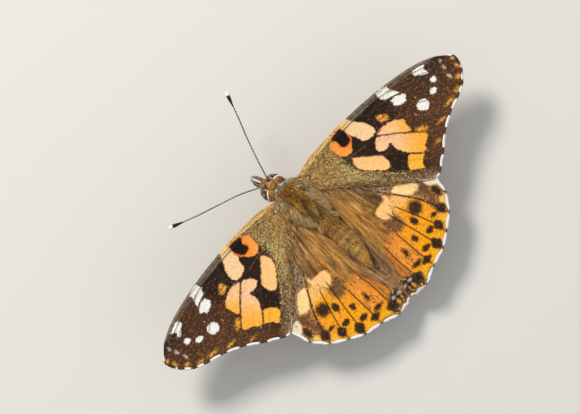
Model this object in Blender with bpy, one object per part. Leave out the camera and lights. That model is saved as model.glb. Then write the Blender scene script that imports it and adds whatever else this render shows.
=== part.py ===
"""Painted lady butterfly, Vanessa cardui, life size, standing with its wings open.

A still model for a museum case. Every size below is in millimetres, and each mesh is scaled to
metres where it is made. In the body's frame x runs to the butterfly's left, y towards its tail and
z up from the level of the wings, so the head looks along -Y. A wing has its own plan: u runs out
from the middle line and v towards the tail.
"""

import math

import bmesh
import bpy
import numpy as np
from mathutils import Matrix, Vector
from mathutils.geometry import delaunay_2d_cdt

MM = 0.001
SIDES = (("left", 1), ("right", -1))

# Stance: the feet are on z = 0, and the box of the whole butterfly is centred on the origin.
WING_HEIGHT = 8.6  # of the wings' level over the floor, at the middle of the hinges
PITCH = 6.0  # degrees, head up
BOX_SHIFT = (-0.454, -4.174)
GAP = 0.3  # kept between a part and what it grows from

# Wings
WING_THICK = 0.5
VEIN_HEIGHT = 0.12  # of a vein's crest over the membrane, on both faces
VEIN_ROOT, VEIN_TIP = 0.42, 0.22  # half widths
LEVEL_STEP = 0.55  # the forewing lies this far over the wings' level, the hindwing as far under it
WING_RISE = 0.045  # upward slope of a wing from root to tip
WING_BOW = 0.35  # and how far its middle is bowed up
SPAN = 33.4
SCALLOP = 0.3  # depth of the margin's dips between two vein ends

# The two forewings aren't quite mirror images: the pair is turned a little and stands off the middle.
FORE_MIDDLE = 0.6
FORE_LEAN = 0.032
FORE_SWEEP = 0.021
FORE_COSTA = ((5.8, -1.26), (8.0, -1.42), (14.5, -1.35), (20.5, -0.82), (26.4, 0.25), (30.5, 1.75), (32.7, 3.5))
FORE_CRESTS = (
    (33.45, 4.55),
    (33.2, 5.6),
    (32.5, 6.85),
    (31.0, 8.35),
    (29.0, 9.25),
    (26.2, 10.1),
    (23.4, 11.5),
    (20.8, 13.5),
    (18.2, 15.2),
)
FORE_TORNUS = ((17.0, 15.4), (15.8, 14.9), (12.2, 11.85), (8.6, 8.3), (5.4, 5.0))
FORE_ROOT = (-0.6, -0.1, 0.6, 1.4, 2.2)  # places along the thorax, front to back
FORE_VEINS = {
    "subcosta": ((4.2, -0.1), (10.0, -0.8), (16.0, -0.75)),
    "radius": ((4.2, 0.5), (10.0, -0.05), (16.5, 0.1), (21.0, 0.3), (24.5, 1.15), (28.5, 2.9), (32.7, 5.2)),
    "radius_1": ((13.0, -0.05), (18.0, -0.3), (21.5, -0.15)),
    "radius_3": ((23.0, 0.7), (27.0, 1.5), (31.2, 3.0)),
    "radius_5": ((22.0, 0.55), (25.5, 2.3), (29.3, 4.4), (32.0, 6.5)),
    "media_1": ((17.2, 1.2), (21.4, 1.7), (24.0, 2.6), (27.7, 5.2), (30.6, 8.0)),
    "media_2": ((17.5, 2.2), (21.5, 3.4), (25.5, 6.0), (28.7, 8.9)),
    "media_3": ((16.4, 3.9), (17.6, 3.7), (19.0, 4.0), (20.7, 5.3), (23.4, 7.7), (26.0, 9.75)),
    "cubitus_1": ((16.0, 3.95), (18.3, 6.1), (21.5, 9.4), (23.2, 11.1)),
    "cubitus_2": ((11.0, 3.6), (14.2, 7.0), (17.0, 9.9), (20.5, 13.1)),
    "cubital_stem": ((4.3, 1.4), (7.5, 2.6), (11.0, 3.5), (14.0, 3.85), (16.4, 3.9)),
    "cell_end": ((16.4, 3.9), (17.5, 2.2), (17.2, 1.2), (16.5, 0.1)),
    "anal": ((4.2, 2.2), (7.0, 3.9), (10.0, 5.9), (13.2, 9.0), (15.2, 11.6), (17.0, 13.4), (17.9, 14.8)),
}

# Hindwings
HIND_COSTA = ((5.0, 2.3), (8.0, 4.2), (11.0, 7.2), (13.8, 10.6), (15.8, 13.3))
HIND_CRESTS = (
    (16.75, 15.3),
    (16.1, 18.5),
    (14.1, 21.05),
    (11.6, 22.75),
    (9.25, 24.2),
    (6.15, 24.9),
    (3.2, 26.15),
    (1.1, 25.7),
)
HIND_ROOT = (2.7, 3.8, 4.9)
HIND_ROOT_EASE = 0.23  # more room there, as the wing slopes down towards the thorax
HIND_SPLIT = 0.17  # half the room between the two inner margins
HIND_INNER_START = 7.5  # where the inner margin comes under the abdomen
HIND_INNER_END = 25.4
HIND_VEINS = {
    "subcosta": ((4.0, 3.2), (9.0, 5.6), (12.6, 10.0), (15.9, 14.9)),
    "sector": ((6.2, 5.4), (10.5, 9.5), (13.8, 14.0), (15.7, 18.1)),
    "media_1": ((7.2, 7.0), (9.6, 11.6), (12.7, 17.0), (13.9, 20.6)),
    "media_2": ((6.9, 8.2), (8.6, 13.0), (10.1, 17.3), (11.0, 20.1), (11.5, 22.2)),
    "media_3": ((6.6, 9.4), (7.4, 14.5), (8.4, 19.5), (9.1, 23.7)),
    "cubitus_1": ((5.7, 9.2), (5.85, 16.0), (6.0, 21.0), (6.15, 24.4)),
    "cubitus_2": ((4.9, 7.6), (3.6, 13.5), (2.95, 20.0), (3.15, 25.6)),
    "anal": ((3.9, 5.2), (2.2, 9.5), (1.6, 15.0), (1.5, 25.2)),
    "cell": ((3.9, 4.0), (6.2, 5.4), (7.2, 7.0), (6.6, 9.4), (5.7, 9.2), (4.9, 7.6), (3.9, 5.2)),
}
TROUGH_DEPTH = 2.28  # the inner parts of the hindwings sink this far to pass under the abdomen
TROUGH_FLOOR = 0.6  # half the width of its flat bottom
TROUGH_REACH = 3.7  # half its whole width
TROUGH_REAR_DEPTH = 1.1
TROUGH_REAR_X = 0.45  # the margins meet a little left of the middle line behind the abdomen

# Trunk, as stations from front to back: y, middle x, half width, top, bottom. Its coat is included.
THORAX = (
    (-1.3, 1.35, 1.2, 0.75, -1.75),
    (-1.0, 1.15, 1.9, 1.2, -2.25),
    (-0.5, 0.85, 2.68, 1.65, -2.85),
    (0.4, 0.65, 3.05, 2.15, -3.45),
    (1.7, 0.55, 3.15, 2.45, -3.9),
    (3.2, 0.45, 3.0, 2.35, -3.9),
    (4.6, 0.28, 2.5, 1.9, -3.3),
    (5.7, 0.12, 1.95, 1.45, -2.6),
    (6.3, 0.05, 1.5, 1.2, -2.05),
)
ABDOMEN = (
    (6.6, 0.0, 1.3, 0.95, -1.75),
    (8.0, 0.0, 1.75, 1.3, -1.95),
    (11.0, 0.0, 1.85, 1.35, -1.95),
    (13.5, 0.05, 1.65, 1.2, -1.8),
    (15.5, 0.22, 1.25, 0.85, -1.45),
    (17.0, 0.5, 0.75, 0.4, -1.0),
    (17.9, 0.7, 0.25, 0.0, -0.45),
)
ABDOMEN_RINGS = 8
RING_GROOVE = 0.05  # share by which the abdomen is narrower between two rings

# Head, turned to the butterfly's left and rolled a little so that its left eye shows
HEAD_AT = (1.95, -2.85, -0.45)
HEAD_TURN, HEAD_ROLL = 18.0, -10.0
HEAD_SIZE = (1.85, 1.3, 1.4)  # half sizes
HEAD_SIDE = 1.0  # flat faces that the eyes stand on
HEAD_BACK = 1.0
EYE_SIZE = (1.3, 1.15, 1.3)
EYE_MIDDLE = 1.0
PALP_PATH = ((0.5, -1.5, -0.72), (0.48, -2.1, -0.66), (0.44, -2.7, -0.32), (0.26, -3.2, 0.1))
PALP_RADII = (0.28, 0.3, 0.27, 0.08)
TONGUE_START = (-0.9, -1.52)  # y and z under the mouth
COIL_AT = (-1.78, -2.4)
COIL_RADII = (0.88, 0.3)  # at its start and its end
COIL_TURNS = 0.93
TONGUE_RADIUS = 0.25

# Antennae, in the body's frame
ANTENNA_SHAFT, ANTENNA_CLUB, ANTENNA_TIP = 0.25, 0.36, 0.2  # radii
CLUB_LENGTH = 2.3  # over which the shaft widens to the club
CLUB_END = 0.9  # of the club's full width, from the tip
TIP_LENGTH = 0.5
ANTENNA_PATHS = {
    "right": (
        (1.15, -4.35, 1.1),
        (0.16, -7.0, 1.35),
        (-1.32, -10.6, 1.65),
        (-2.9, -14.0, 1.95),
        (-4.5, -17.9, 2.2),
    ),
    "left": (
        (3.25, -3.85, 1.3),
        (6.08, -5.4, 1.6),
        (9.4, -6.75, 1.9),
        (13.4, -8.3, 2.2),
        (17.55, -10.2, 2.5),
    ),
}
SOCKET = (0.45, -0.6, 1.57)  # in the head's frame
SCAPE_RADIUS = 0.3

# Legs. Each joint is a place and a radius. Hips are in the body's frame, outwards from the thorax's
# middle, and the later joints are over the floor, outwards from the body's middle.
LEG_SIDES = 10
JOINT_EASE = 0.3  # a leg's tube starts to turn this far from each joint
SOLE = 0.12  # what lies lower than this is pressed flat on the floor
LEG_MIDDLE = 0.4
FORELEG = (
    ((1.15, -0.2, -3.7), 0.34),
    ((1.25, -0.95, -4.35), 0.42),
    ((0.95, -2.1, -4.25), 0.38),
    ((0.6, -3.3, -3.8), 0.16),
)
WALKING_LEGS = {
    "midleg": {
        "hip": (((1.2, 1.9, -4.16), 0.42), ((1.5, 1.8, -4.8), 0.44)),
        "down": (
            ((5.2, 1.3, 5.9), 0.36),
            ((7.3, 0.9, 2.8), 0.27),
            ((8.3, 0.7, 0.6), 0.25),
            ((8.8, 0.6, 0.24), 0.29),
            ((10.4, 0.2, 0.24), 0.25),
        ),
    },
    "hindleg": {
        "hip": (((1.15, 3.9, -3.96), 0.42), ((1.4, 4.2, -4.8), 0.44)),
        "down": (
            ((5.0, 7.0, 5.1), 0.36),
            ((6.7, 11.0, 2.7), 0.27),
            ((7.3, 13.4, 0.6), 0.25),
            ((7.45, 14.0, 0.24), 0.29),
            ((7.8, 15.8, 0.24), 0.25),
        ),
    },
}

COLOURS = {  # base colour, roughness
    "forewing": ((0.62, 0.30, 0.09), 0.75),
    "hindwing": ((0.72, 0.33, 0.07), 0.75),
    "trunk": ((0.25, 0.17, 0.08), 0.9),
    "eye": ((0.16, 0.07, 0.03), 0.25),
    "antenna": ((0.05, 0.045, 0.05), 0.5),
    "leg": ((0.42, 0.33, 0.22), 0.7),
    "tongue": ((0.12, 0.06, 0.03), 0.4),
}


def material(slot):
    """The Principled material of one kind of part, made once."""
    found = bpy.data.materials.get(slot)
    if found:
        return found
    made = bpy.data.materials.new(slot)
    made.use_nodes = True
    shader = made.node_tree.nodes["Principled BSDF"]
    colour, roughness = COLOURS[slot]
    shader.inputs["Base Color"].default_value = (*colour, 1.0)
    shader.inputs["Roughness"].default_value = roughness
    return made


def empty(name, parent, place, turn=(0.0, 0.0, 0.0)):
    made = bpy.data.objects.new(name, None)
    bpy.context.scene.collection.objects.link(made)
    made.parent = parent
    made.location = Vector(place) * MM
    made.rotation_euler = [math.radians(angle) for angle in turn]
    return made


def node(name, mesh_of_mm, parent, slot):
    """One named object from a bmesh in millimetres, its faces turned outwards."""
    bmesh.ops.recalc_face_normals(mesh_of_mm, faces=mesh_of_mm.faces)
    bmesh.ops.transform(mesh_of_mm, matrix=Matrix.Scale(MM, 4), verts=mesh_of_mm.verts)
    data = bpy.data.meshes.new(name)
    mesh_of_mm.to_mesh(data)
    mesh_of_mm.free()
    data.materials.append(material(slot))
    data.shade_smooth()
    data.set_sharp_from_angle(angle=math.radians(40))
    made = bpy.data.objects.new(name, data)
    bpy.context.scene.collection.objects.link(made)
    made.parent = parent


def read_smoothly(points, places, at):
    """A smooth curve through points that lie at the given places, read at other places."""
    slopes = np.gradient(points, places, axis=0)
    start = np.clip(np.searchsorted(places, at) - 1, 0, len(places) - 2)
    span = (places[start + 1] - places[start])[:, None]
    t = (at - places[start])[:, None] / span
    return (
        (2 * t**3 - 3 * t**2 + 1) * points[start]
        + (t**3 - 2 * t**2 + t) * span * slopes[start]
        + (3 * t**2 - 2 * t**3) * points[start + 1]
        + (t**3 - t**2) * span * slopes[start + 1]
    )


def lengths_along(path):
    steps = np.linalg.norm(np.diff(np.array(path, float), axis=0), axis=1)
    return np.concatenate(([0.0], np.cumsum(steps)))


def smooth_line(points, step):
    """A curve through the points, as rows about one step apart."""
    along = lengths_along(points)
    at = np.linspace(0.0, along[-1], max(2, round(along[-1] / step) + 1))
    return read_smoothly(np.array(points, float), along, at)


def smooth_rows(stations, at):
    """The values of stations along the body, on smooth curves, at the given y."""
    stations = np.array(stations)
    return read_smoothly(stations, stations[:, 0], np.atleast_1d(at))


def spread(values, path):
    """The values, spaced evenly along a path, as read at each of its points."""
    along = lengths_along(path)
    return np.interp(along / along[-1], np.linspace(0.0, 1.0, len(values)), values)


def smoothstep(t):
    t = np.clip(t, 0.0, 1.0)
    return t * t * (3.0 - 2.0 * t)


def loft(rings):
    """A closed bmesh over rings of equal count, with both ends capped."""
    made = bmesh.new()
    loops = [[made.verts.new(point) for point in ring] for ring in rings]
    for first, second in zip(loops, loops[1:]):
        for i in range(len(first)):
            j = (i + 1) % len(first)
            made.faces.new((first[i], first[j], second[j], second[i]))
    made.faces.new(loops[0][::-1])
    made.faces.new(loops[-1])
    return made


def tube(path, radii, sides, start_along, sole=None):
    """A tube along a path with a radius at each point. A sole flattens what comes near the floor."""
    tangents = np.gradient(np.array(path, float), axis=0)
    tangents[0] = start_along
    across = Vector(start_along).orthogonal().normalized()
    rings = []
    for point, tangent, radius in zip(path, tangents, radii):
        tangent = Vector(tangent).normalized()
        across = (across - tangent * across.dot(tangent)).normalized()
        other = tangent.cross(across)
        ring = []
        for i in range(sides):
            angle = math.tau * (i + 0.5) / sides
            corner = Vector(point) + float(radius) * (math.cos(angle) * across + math.sin(angle) * other)
            if sole is not None and corner.z < sole:
                corner.z = 0.0
            ring.append(corner)
        rings.append(ring)
    return loft(rings)


def trunk_rings(stations, step, sides, squeeze=lambda share: 1.0):
    """Oval cross sections through the stations, front to back."""
    stations = np.array(stations)
    count = round((stations[-1, 0] - stations[0, 0]) / step)
    rows = smooth_rows(stations, np.linspace(stations[0, 0], stations[-1, 0], count + 1))
    rings = []
    for index, (y, middle, half_width, top, bottom) in enumerate(rows):
        narrow = squeeze(index / count)
        ring = []
        for i in range(sides):
            angle = math.tau * i / sides
            x = middle + narrow * half_width * math.cos(angle)
            z = (top + bottom) / 2 + narrow * (top - bottom) / 2 * math.sin(angle)
            ring.append((x, y, z))
        rings.append(ring)
    return rings


def thorax_side(side, y, z):
    """The x of the thorax's surface on one side, at a place along it and a height."""
    _, middle, half_width, top, bottom = smooth_rows(THORAX, y)[0]
    height = (z - (top + bottom) / 2) / ((top - bottom) / 2)
    return middle + side * half_width * math.sqrt(max(0.0, 1.0 - height**2))


def beside_thorax(side, y, z, room):
    """The x that leaves this much room beside the thorax, square to its side."""
    step = 0.05
    slope = (thorax_side(side, y + step, z) - thorax_side(side, y - step, z)) / (2 * step)
    return thorax_side(side, y, z) + side * room * math.hypot(1.0, slope)


def scalloped(crests):
    """The outer margin: vein ends stand out, with a shallow dip between each two of them."""
    line = []
    for (u0, v0), (u1, v1) in zip(crests, crests[1:]):
        length = math.hypot(u1 - u0, v1 - v0)
        inward = ((v0 - v1) / length, (u1 - u0) / length)
        steps = 4 if length > 1.5 else 3
        for i in range(steps):
            t = i / steps
            dip = SCALLOP * min(1.0, length / 2.5) * math.sin(math.pi * t)
            line.append((u0 + t * (u1 - u0) + dip * inward[0], v0 + t * (v1 - v0) + dip * inward[1]))
    return [*line, crests[-1]]


def fore_place(side, u, v):
    """Body x and y of a point in the forewing's own plan."""
    return side * u + FORE_MIDDLE - FORE_LEAN * v, v - FORE_SWEEP * side * u


def bowed(u):
    return WING_RISE * u + WING_BOW * math.sin(math.pi * min(1.0, max(0.0, u) / SPAN))


def fore_surface(side, u, v):
    x, y = fore_place(side, u, v)
    return Vector((x, y, LEVEL_STEP + bowed(u)))


def trough_x(v):
    """The body x where the two hindwings' inner margins meet."""
    return TROUGH_REAR_X * float(smoothstep((v - 12.0) / 12.0))


def hind_surface(side, u, v):
    depth = TROUGH_DEPTH + (TROUGH_REAR_DEPTH - TROUGH_DEPTH) * float(smoothstep((v - 15.0) / 9.0))
    from_middle = u - side * trough_x(v)
    sunk = 1.0 - float(smoothstep((from_middle - TROUGH_FLOOR) / (TROUGH_REACH - TROUGH_FLOOR)))
    return Vector((side * u, v, -LEVEL_STEP + bowed(u) - depth * sunk))


def fore_outline(side):
    root = []
    for v in FORE_ROOT:
        x = beside_thorax(side, v, LEVEL_STEP - WING_THICK / 2, GAP)
        root.append((side * (x - FORE_MIDDLE + FORE_LEAN * v), v))
    front = smooth_line((root[0], (root[0][0] + 1.0, root[0][1] - 0.25), *FORE_COSTA, FORE_CRESTS[0]), 1.3)
    back = smooth_line((FORE_CRESTS[-1], *FORE_TORNUS, root[-1]), 1.4)
    return [*front[:-1], *scalloped(FORE_CRESTS), *back[1:], *root[-2:0:-1]]


def hind_outline(side):
    root = []
    for v in HIND_ROOT:
        x = beside_thorax(side, v, -LEVEL_STEP - WING_THICK, GAP + HIND_ROOT_EASE)
        root.append((side * x, v))
    front = smooth_line((root[0], *HIND_COSTA, HIND_CRESTS[0]), 1.6)
    corner = (side * trough_x(HIND_INNER_END) + HIND_SPLIT, HIND_INNER_END)
    inner = [(side * trough_x(v) + HIND_SPLIT, v) for v in np.linspace(HIND_INNER_END, HIND_INNER_START, 12)]
    under = [((inner[-1][0] + root[-1][0]) / 2 + 0.25, (inner[-1][1] + root[-1][1]) / 2 + 0.6)]
    return [*front[:-1], *scalloped((*HIND_CRESTS, corner)), *inner[1:], *under, *root[:0:-1]]


def inside(point, outline):
    """Whether a point lies in a closed outline, by counting crossings."""
    x, y = point
    found = False
    for (x0, y0), (x1, y1) in zip(outline, [*outline[1:], outline[0]]):
        if (y0 > y) != (y1 > y) and x < x0 + (y - y0) / (y1 - y0) * (x1 - x0):
            found = not found
    return found


def distance_to(point, line):
    """The distance from a point to a line of points, and the share of the line where it is nearest."""
    starts, ends = line[:-1], line[1:]
    along = ends - starts
    t = np.clip(((point - starts) * along).sum(1) / (along**2).sum(1), 0.0, 1.0)
    far = np.linalg.norm(point - (starts + t[:, None] * along), axis=1)
    nearest = int(far.argmin())
    return far[nearest], (nearest + t[nearest]) / len(starts)


def vein_half_width(share):
    return VEIN_ROOT + (VEIN_TIP - VEIN_ROOT) * share


def wing(side, outline, veins, surface, extra):
    """A membrane of one thickness about its middle surface, with its veins raised on both faces."""
    points = [Vector(point) for point in outline]
    edges = [(i, (i + 1) % len(points)) for i in range(len(points))]
    centres = []
    for vein in veins.values():
        centre = smooth_line(vein, 1.7)
        centres.append(centre)
        tangent = np.gradient(centre, axis=0)
        across = np.stack([-tangent[:, 1], tangent[:, 0]], 1) / np.linalg.norm(tangent, axis=1)[:, None]
        half = vein_half_width(np.linspace(0.0, 1.0, len(centre)))[:, None]
        half[-1] = 0.0
        for line in (centre, centre + across * half, centre - across * half):
            first = len(points)
            points += [Vector(point) for point in line]
            edges += [(first + i, first + i + 1) for i in range(len(line) - 1)]
    points += [Vector(point) for point in extra if inside(point, outline)]
    flat, _, triangles, _, _, _ = delaunay_2d_cdt(points, edges, [list(range(len(outline)))], 1, 0.03)

    made = bmesh.new()
    pairs = []
    for point in flat:
        raised = 0.0
        for centre in centres:
            far, share = distance_to(np.array(point), centre)
            raised = max(raised, 1.0 - far / vein_half_width(share))
        half_thick = WING_THICK / 2 + VEIN_HEIGHT * raised
        middle = surface(side, point.x, point.y)
        normal = surface_normal(surface, side, point.x, point.y)
        offset = normal * half_thick
        pairs.append((made.verts.new(middle + offset), made.verts.new(middle - offset)))
    rim = {}
    for triangle in triangles:
        top = [pairs[i][0] for i in triangle]
        bottom = [pairs[i][1] for i in reversed(triangle)]
        made.faces.new(top)
        made.faces.new(bottom)
        for i in range(3):
            a, b = triangle[i], triangle[(i + 1) % 3]
            if rim.pop((b, a), None) is None:
                rim[(a, b)] = True
    for a, b in rim:
        made.faces.new((pairs[b][0], pairs[a][0], pairs[a][1], pairs[b][1]))
    return made


def surface_normal(surface, side, u, v):
    """The upward normal of a middle surface."""
    step = 0.05
    along_u = surface(side, u + step, v) - surface(side, u - step, v)
    along_v = surface(side, u, v + step) - surface(side, u, v - step)
    normal = along_u.cross(along_v).normalized()
    return normal if normal.z > 0 else -normal


def make_wings(body):
    trough = [(u, v) for u in (0.45, 0.9, 1.5, 2.1, 2.7, 3.3, 3.9) for v in np.arange(6.6, 25.2, 2.3)]
    flat_hind = [(u, v) for u in (8.0, 11.0) for v in (9.0, 15.0, 20.0)]
    flat_fore = [(u, v) for u in (6.0, 9.0, 13.0, 19.0, 25.0) for v in (0.8, 2.5, 5.0, 7.0, 10.5)]
    for word, side in SIDES:
        made = wing(side, fore_outline(side), FORE_VEINS, fore_surface, flat_fore)
        node("forewing_" + word, made, body, "forewing")
        made = wing(side, hind_outline(side), HIND_VEINS, hind_surface, trough + flat_hind)
        node("hindwing_" + word, made, body, "hindwing")


def make_trunk(body):
    node("thorax", loft(trunk_rings(THORAX, 0.5, 22)), body, "trunk")

    def ringed(share):
        return 1.0 - RING_GROOVE * abs(math.cos(math.pi * share * ABDOMEN_RINGS)) ** 4

    length = ABDOMEN[-1][0] - ABDOMEN[0][0]
    node("abdomen", loft(trunk_rings(ABDOMEN, length / (4 * ABDOMEN_RINGS), 18, ringed)), body, "trunk")


def cut_ball(size, middle, cuts):
    """An oval ball, flat where planes cut it. A cut is a point on its plane and the way to what goes."""
    made = bmesh.new()
    bmesh.ops.create_uvsphere(made, u_segments=20, v_segments=14, radius=1.0)
    place = Matrix.Translation(middle) @ Matrix.Diagonal((*size, 1.0))
    bmesh.ops.transform(made, matrix=place, verts=made.verts)
    for point, away in cuts:
        geom = made.verts[:] + made.edges[:] + made.faces[:]
        bmesh.ops.bisect_plane(made, geom=geom, plane_co=point, plane_no=away, clear_outer=True)
        bmesh.ops.holes_fill(made, edges=[edge for edge in made.edges if edge.is_boundary])
    return made


def make_head(body):
    head = empty("head_frame", body, HEAD_AT, (0.0, HEAD_ROLL, HEAD_TURN))
    cuts = [((side * HEAD_SIDE, 0.0, 0.0), (side, 0.0, 0.0)) for _, side in SIDES]
    cuts.append(((0.0, HEAD_BACK, 0.0), (0.0, 1.0, 0.0)))
    node("head", cut_ball(HEAD_SIZE, (0.0, 0.0, 0.0), cuts), head, "trunk")
    for word, side in SIDES:
        inner_face = ((side * (HEAD_SIDE + GAP), 0.0, 0.0), (-side, 0.0, 0.0))
        node("eye_" + word, cut_ball(EYE_SIZE, (side * EYE_MIDDLE, 0.0, 0.0), [inner_face]), head, "eye")
        path = smooth_line([(side * x, y, z) for x, y, z in PALP_PATH], 0.28)
        node("palp_" + word, tube(path, spread(PALP_RADII, path), 8, (0.0, -1.0, 0.0)), head, "trunk")
        make_antenna(word, side, head, body)
    make_tongue(head)


def make_tongue(head):
    """The coiled tongue: down from the mouth, then one flat turn forwards under the palps."""
    path = [(0.0, *TONGUE_START)]
    for share in np.linspace(0.0, 1.0, 18):
        angle = math.tau * COIL_TURNS * share
        radius = COIL_RADII[0] + (COIL_RADII[1] - COIL_RADII[0]) * share
        path.append((0.0, COIL_AT[0] + radius * math.cos(angle), COIL_AT[1] - radius * math.sin(angle)))
    node("proboscis", tube(path, [TONGUE_RADIUS] * len(path), 8, (0.0, 0.0, -1.0)), head, "tongue")


def make_antenna(word, side, head, body):
    head_to_body = Matrix.Translation(HEAD_AT) @ head.rotation_euler.to_matrix().to_4x4()
    socket = head_to_body @ Vector((side * SOCKET[0], SOCKET[1], SOCKET[2]))
    bend = head_to_body @ Vector((side * (SOCKET[0] + 0.1), SOCKET[1] - 0.3, SOCKET[2] + 0.3))
    upright = head_to_body.to_3x3() @ Vector((0.0, -0.3, 1.0))
    path = smooth_line([socket, bend, *ANTENNA_PATHS[word]], 0.62)
    along = lengths_along(path)
    from_tip = along[-1] - along
    club = smoothstep(1.0 - (from_tip - CLUB_END) / CLUB_LENGTH)
    radii = ANTENNA_SHAFT + (ANTENNA_CLUB - ANTENNA_SHAFT) * club
    rounding = ANTENNA_TIP + (ANTENNA_CLUB - ANTENNA_TIP) * from_tip / TIP_LENGTH
    radii = np.where(from_tip < TIP_LENGTH, rounding, radii)
    radii[:2] = SCAPE_RADIUS
    node("antenna_" + word, tube(path, radii, 8, upright), body, "antenna")


def jointed(joints):
    """The path and radii of straight leg pieces with a short bend at each joint."""
    path, radii = [Vector(joints[0][0])], [joints[0][1]]
    for (before, _), (point, radius), (after, _) in zip(joints, joints[1:], joints[2:]):
        before, point, after = Vector(before), Vector(point), Vector(after)
        inwards, onwards = (before - point).normalized(), (after - point).normalized()
        middle = point + 0.25 * JOINT_EASE * (inwards + onwards)
        path += [point + JOINT_EASE * inwards, middle, point + JOINT_EASE * onwards]
        radii += [radius] * 3
    return [*path, Vector(joints[-1][0])], [*radii, joints[-1][1]]


def thorax_middle(y):
    return smooth_rows(THORAX, y)[0][1]


def make_legs(root, body):
    downwards = (0.0, 0.0, -1.0)
    for word, side in SIDES:
        joints = [((thorax_middle(0.0) + side * x, y, z), radius) for (x, y, z), radius in FORELEG]
        node("foreleg_" + word, tube(*jointed(joints), LEG_SIDES, downwards), body, "leg")
        for leg, parts in WALKING_LEGS.items():
            joints = []
            for (x, y, z), radius in parts["hip"]:
                hip = Vector((thorax_middle(y) + side * x, y, z))
                joints.append((body.matrix_basis @ (hip * MM) / MM, radius))
            joints += [((side * x + LEG_MIDDLE, y, z), radius) for (x, y, z), radius in parts["down"]]
            node(f"{leg}_{word}", tube(*jointed(joints), LEG_SIDES, downwards, SOLE), root, "leg")


for old in list(bpy.data.objects):
    bpy.data.objects.remove(old)
butterfly = empty("butterfly", None, (*BOX_SHIFT, 0.0))
body_frame = empty("body_frame", butterfly, (0.0, 0.0, WING_HEIGHT), (-PITCH, 0.0, 0.0))
make_trunk(body_frame)
make_head(body_frame)
make_wings(body_frame)
make_legs(butterfly, body_frame)
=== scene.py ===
"""A painted lady butterfly at rest with its wings open, life size, as a museum shows one."""

import math

import bmesh
import bpy
import numpy as np
from mathutils import Matrix, Vector
from mathutils.geometry import delaunay_2d_cdt


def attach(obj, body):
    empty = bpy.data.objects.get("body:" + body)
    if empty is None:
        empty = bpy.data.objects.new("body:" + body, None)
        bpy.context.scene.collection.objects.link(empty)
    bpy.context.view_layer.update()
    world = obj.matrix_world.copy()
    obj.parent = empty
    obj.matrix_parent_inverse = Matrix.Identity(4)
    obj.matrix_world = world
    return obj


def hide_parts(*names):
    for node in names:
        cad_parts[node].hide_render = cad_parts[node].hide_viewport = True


# The stance. The butterfly stands on a pale floor with its wings spread 8.6 mm over it and its head
# six degrees up. All its parts are shaped in its own frame in millimetres, x to its left, y to its
# tail and z up from its wings, and then stood in their place.
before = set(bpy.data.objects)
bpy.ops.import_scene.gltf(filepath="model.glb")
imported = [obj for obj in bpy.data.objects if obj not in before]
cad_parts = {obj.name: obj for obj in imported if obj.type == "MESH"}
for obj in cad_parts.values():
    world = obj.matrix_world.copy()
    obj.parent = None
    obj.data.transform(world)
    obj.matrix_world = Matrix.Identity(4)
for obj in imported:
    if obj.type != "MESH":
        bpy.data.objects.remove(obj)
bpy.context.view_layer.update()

PITCH = -6.0
STAND = Matrix.Translation((-0.000454, -0.004174, 0.0086)) @ Matrix.Rotation(math.radians(PITCH), 4, "X")
STAND_MM = np.array(STAND @ Matrix.Scale(0.001, 4))


def stood(points):
    """Points in the butterfly's own millimetres, in their place over the floor in metres."""
    return points @ STAND_MM[:3, :3].T + STAND_MM[:3, 3]


def linear(tone):
    """A colour as the eye sees it, 0 to 255, as the shader's linear values."""
    shares = np.clip(np.array(tone, float) / 255.0, 0.0, 1.0)
    return np.where(shares <= 0.04045, shares / 12.92, ((shares + 0.055) / 1.055) ** 2.4)


bpy.ops.mesh.primitive_plane_add(size=4.0, location=(0.0, 0.0, 0.0))
floor = bpy.context.object
floor.name = "floor"
paper = bpy.data.materials.new("pale floor")
paper.use_nodes = True
paper_shader = paper.node_tree.nodes["Principled BSDF"]
paper_shader.inputs["Base Color"].default_value = (*linear((214, 212, 206)), 1.0)
paper_shader.inputs["Roughness"].default_value = 0.85
floor.data.materials.append(paper)

room = bpy.data.worlds.new("soft room")
room.use_nodes = True
room.node_tree.nodes["Background"].inputs["Color"].default_value = (0.93, 0.96, 1.0, 1.0)
room.node_tree.nodes["Background"].inputs["Strength"].default_value = 0.5
bpy.context.scene.world = room
bpy.context.scene.view_settings.view_transform = "Standard"

VIEW_RIGHT = Vector((-0.669, 0.743, 0.0))
VIEW_UP = Vector((-0.743, -0.669, 0.0))
VIEW_MIDDLE = Vector((2.25, 1.78, 0.0))


def add_lamp(name, right, up, away, size, watts, tint):
    """A soft square lamp, placed as the camera sees it, in metres from the wings' middle."""
    data = bpy.data.lights.new(name, "AREA")
    data.size = size
    data.energy = watts
    data.color = tint
    lamp = bpy.data.objects.new(name, data)
    bpy.context.scene.collection.objects.link(lamp)
    way = STAND.to_3x3() @ (VIEW_RIGHT * right + VIEW_UP * up + Vector((0.0, 0.0, away)))
    lamp.location = way
    lamp.rotation_euler = way.to_track_quat("Z", "Y").to_euler()


add_lamp("key lamp", -0.28, 0.3, 0.42, 0.16, 2.75, (1.0, 0.965, 0.9))
add_lamp("fill lamp", 0.45, -0.25, 0.35, 0.5, 0.8, (0.9, 0.95, 1.0))

camera_data = bpy.data.cameras.new("camera")
camera_data.sensor_width = 36.0
camera_data.lens = 180.1
camera_data.clip_start = 0.02
camera_data.clip_end = 10.0
camera = bpy.data.objects.new("camera", camera_data)
bpy.context.scene.collection.objects.link(camera)
facing = Matrix((VIEW_RIGHT, VIEW_UP, Vector((0.0, 0.0, 1.0)))).transposed().to_4x4()
camera.matrix_world = STAND @ Matrix.Translation((VIEW_MIDDLE + Vector((0.0, 0.0, 460.0))) * 0.001) @ facing
bpy.context.scene.camera = camera


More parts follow.
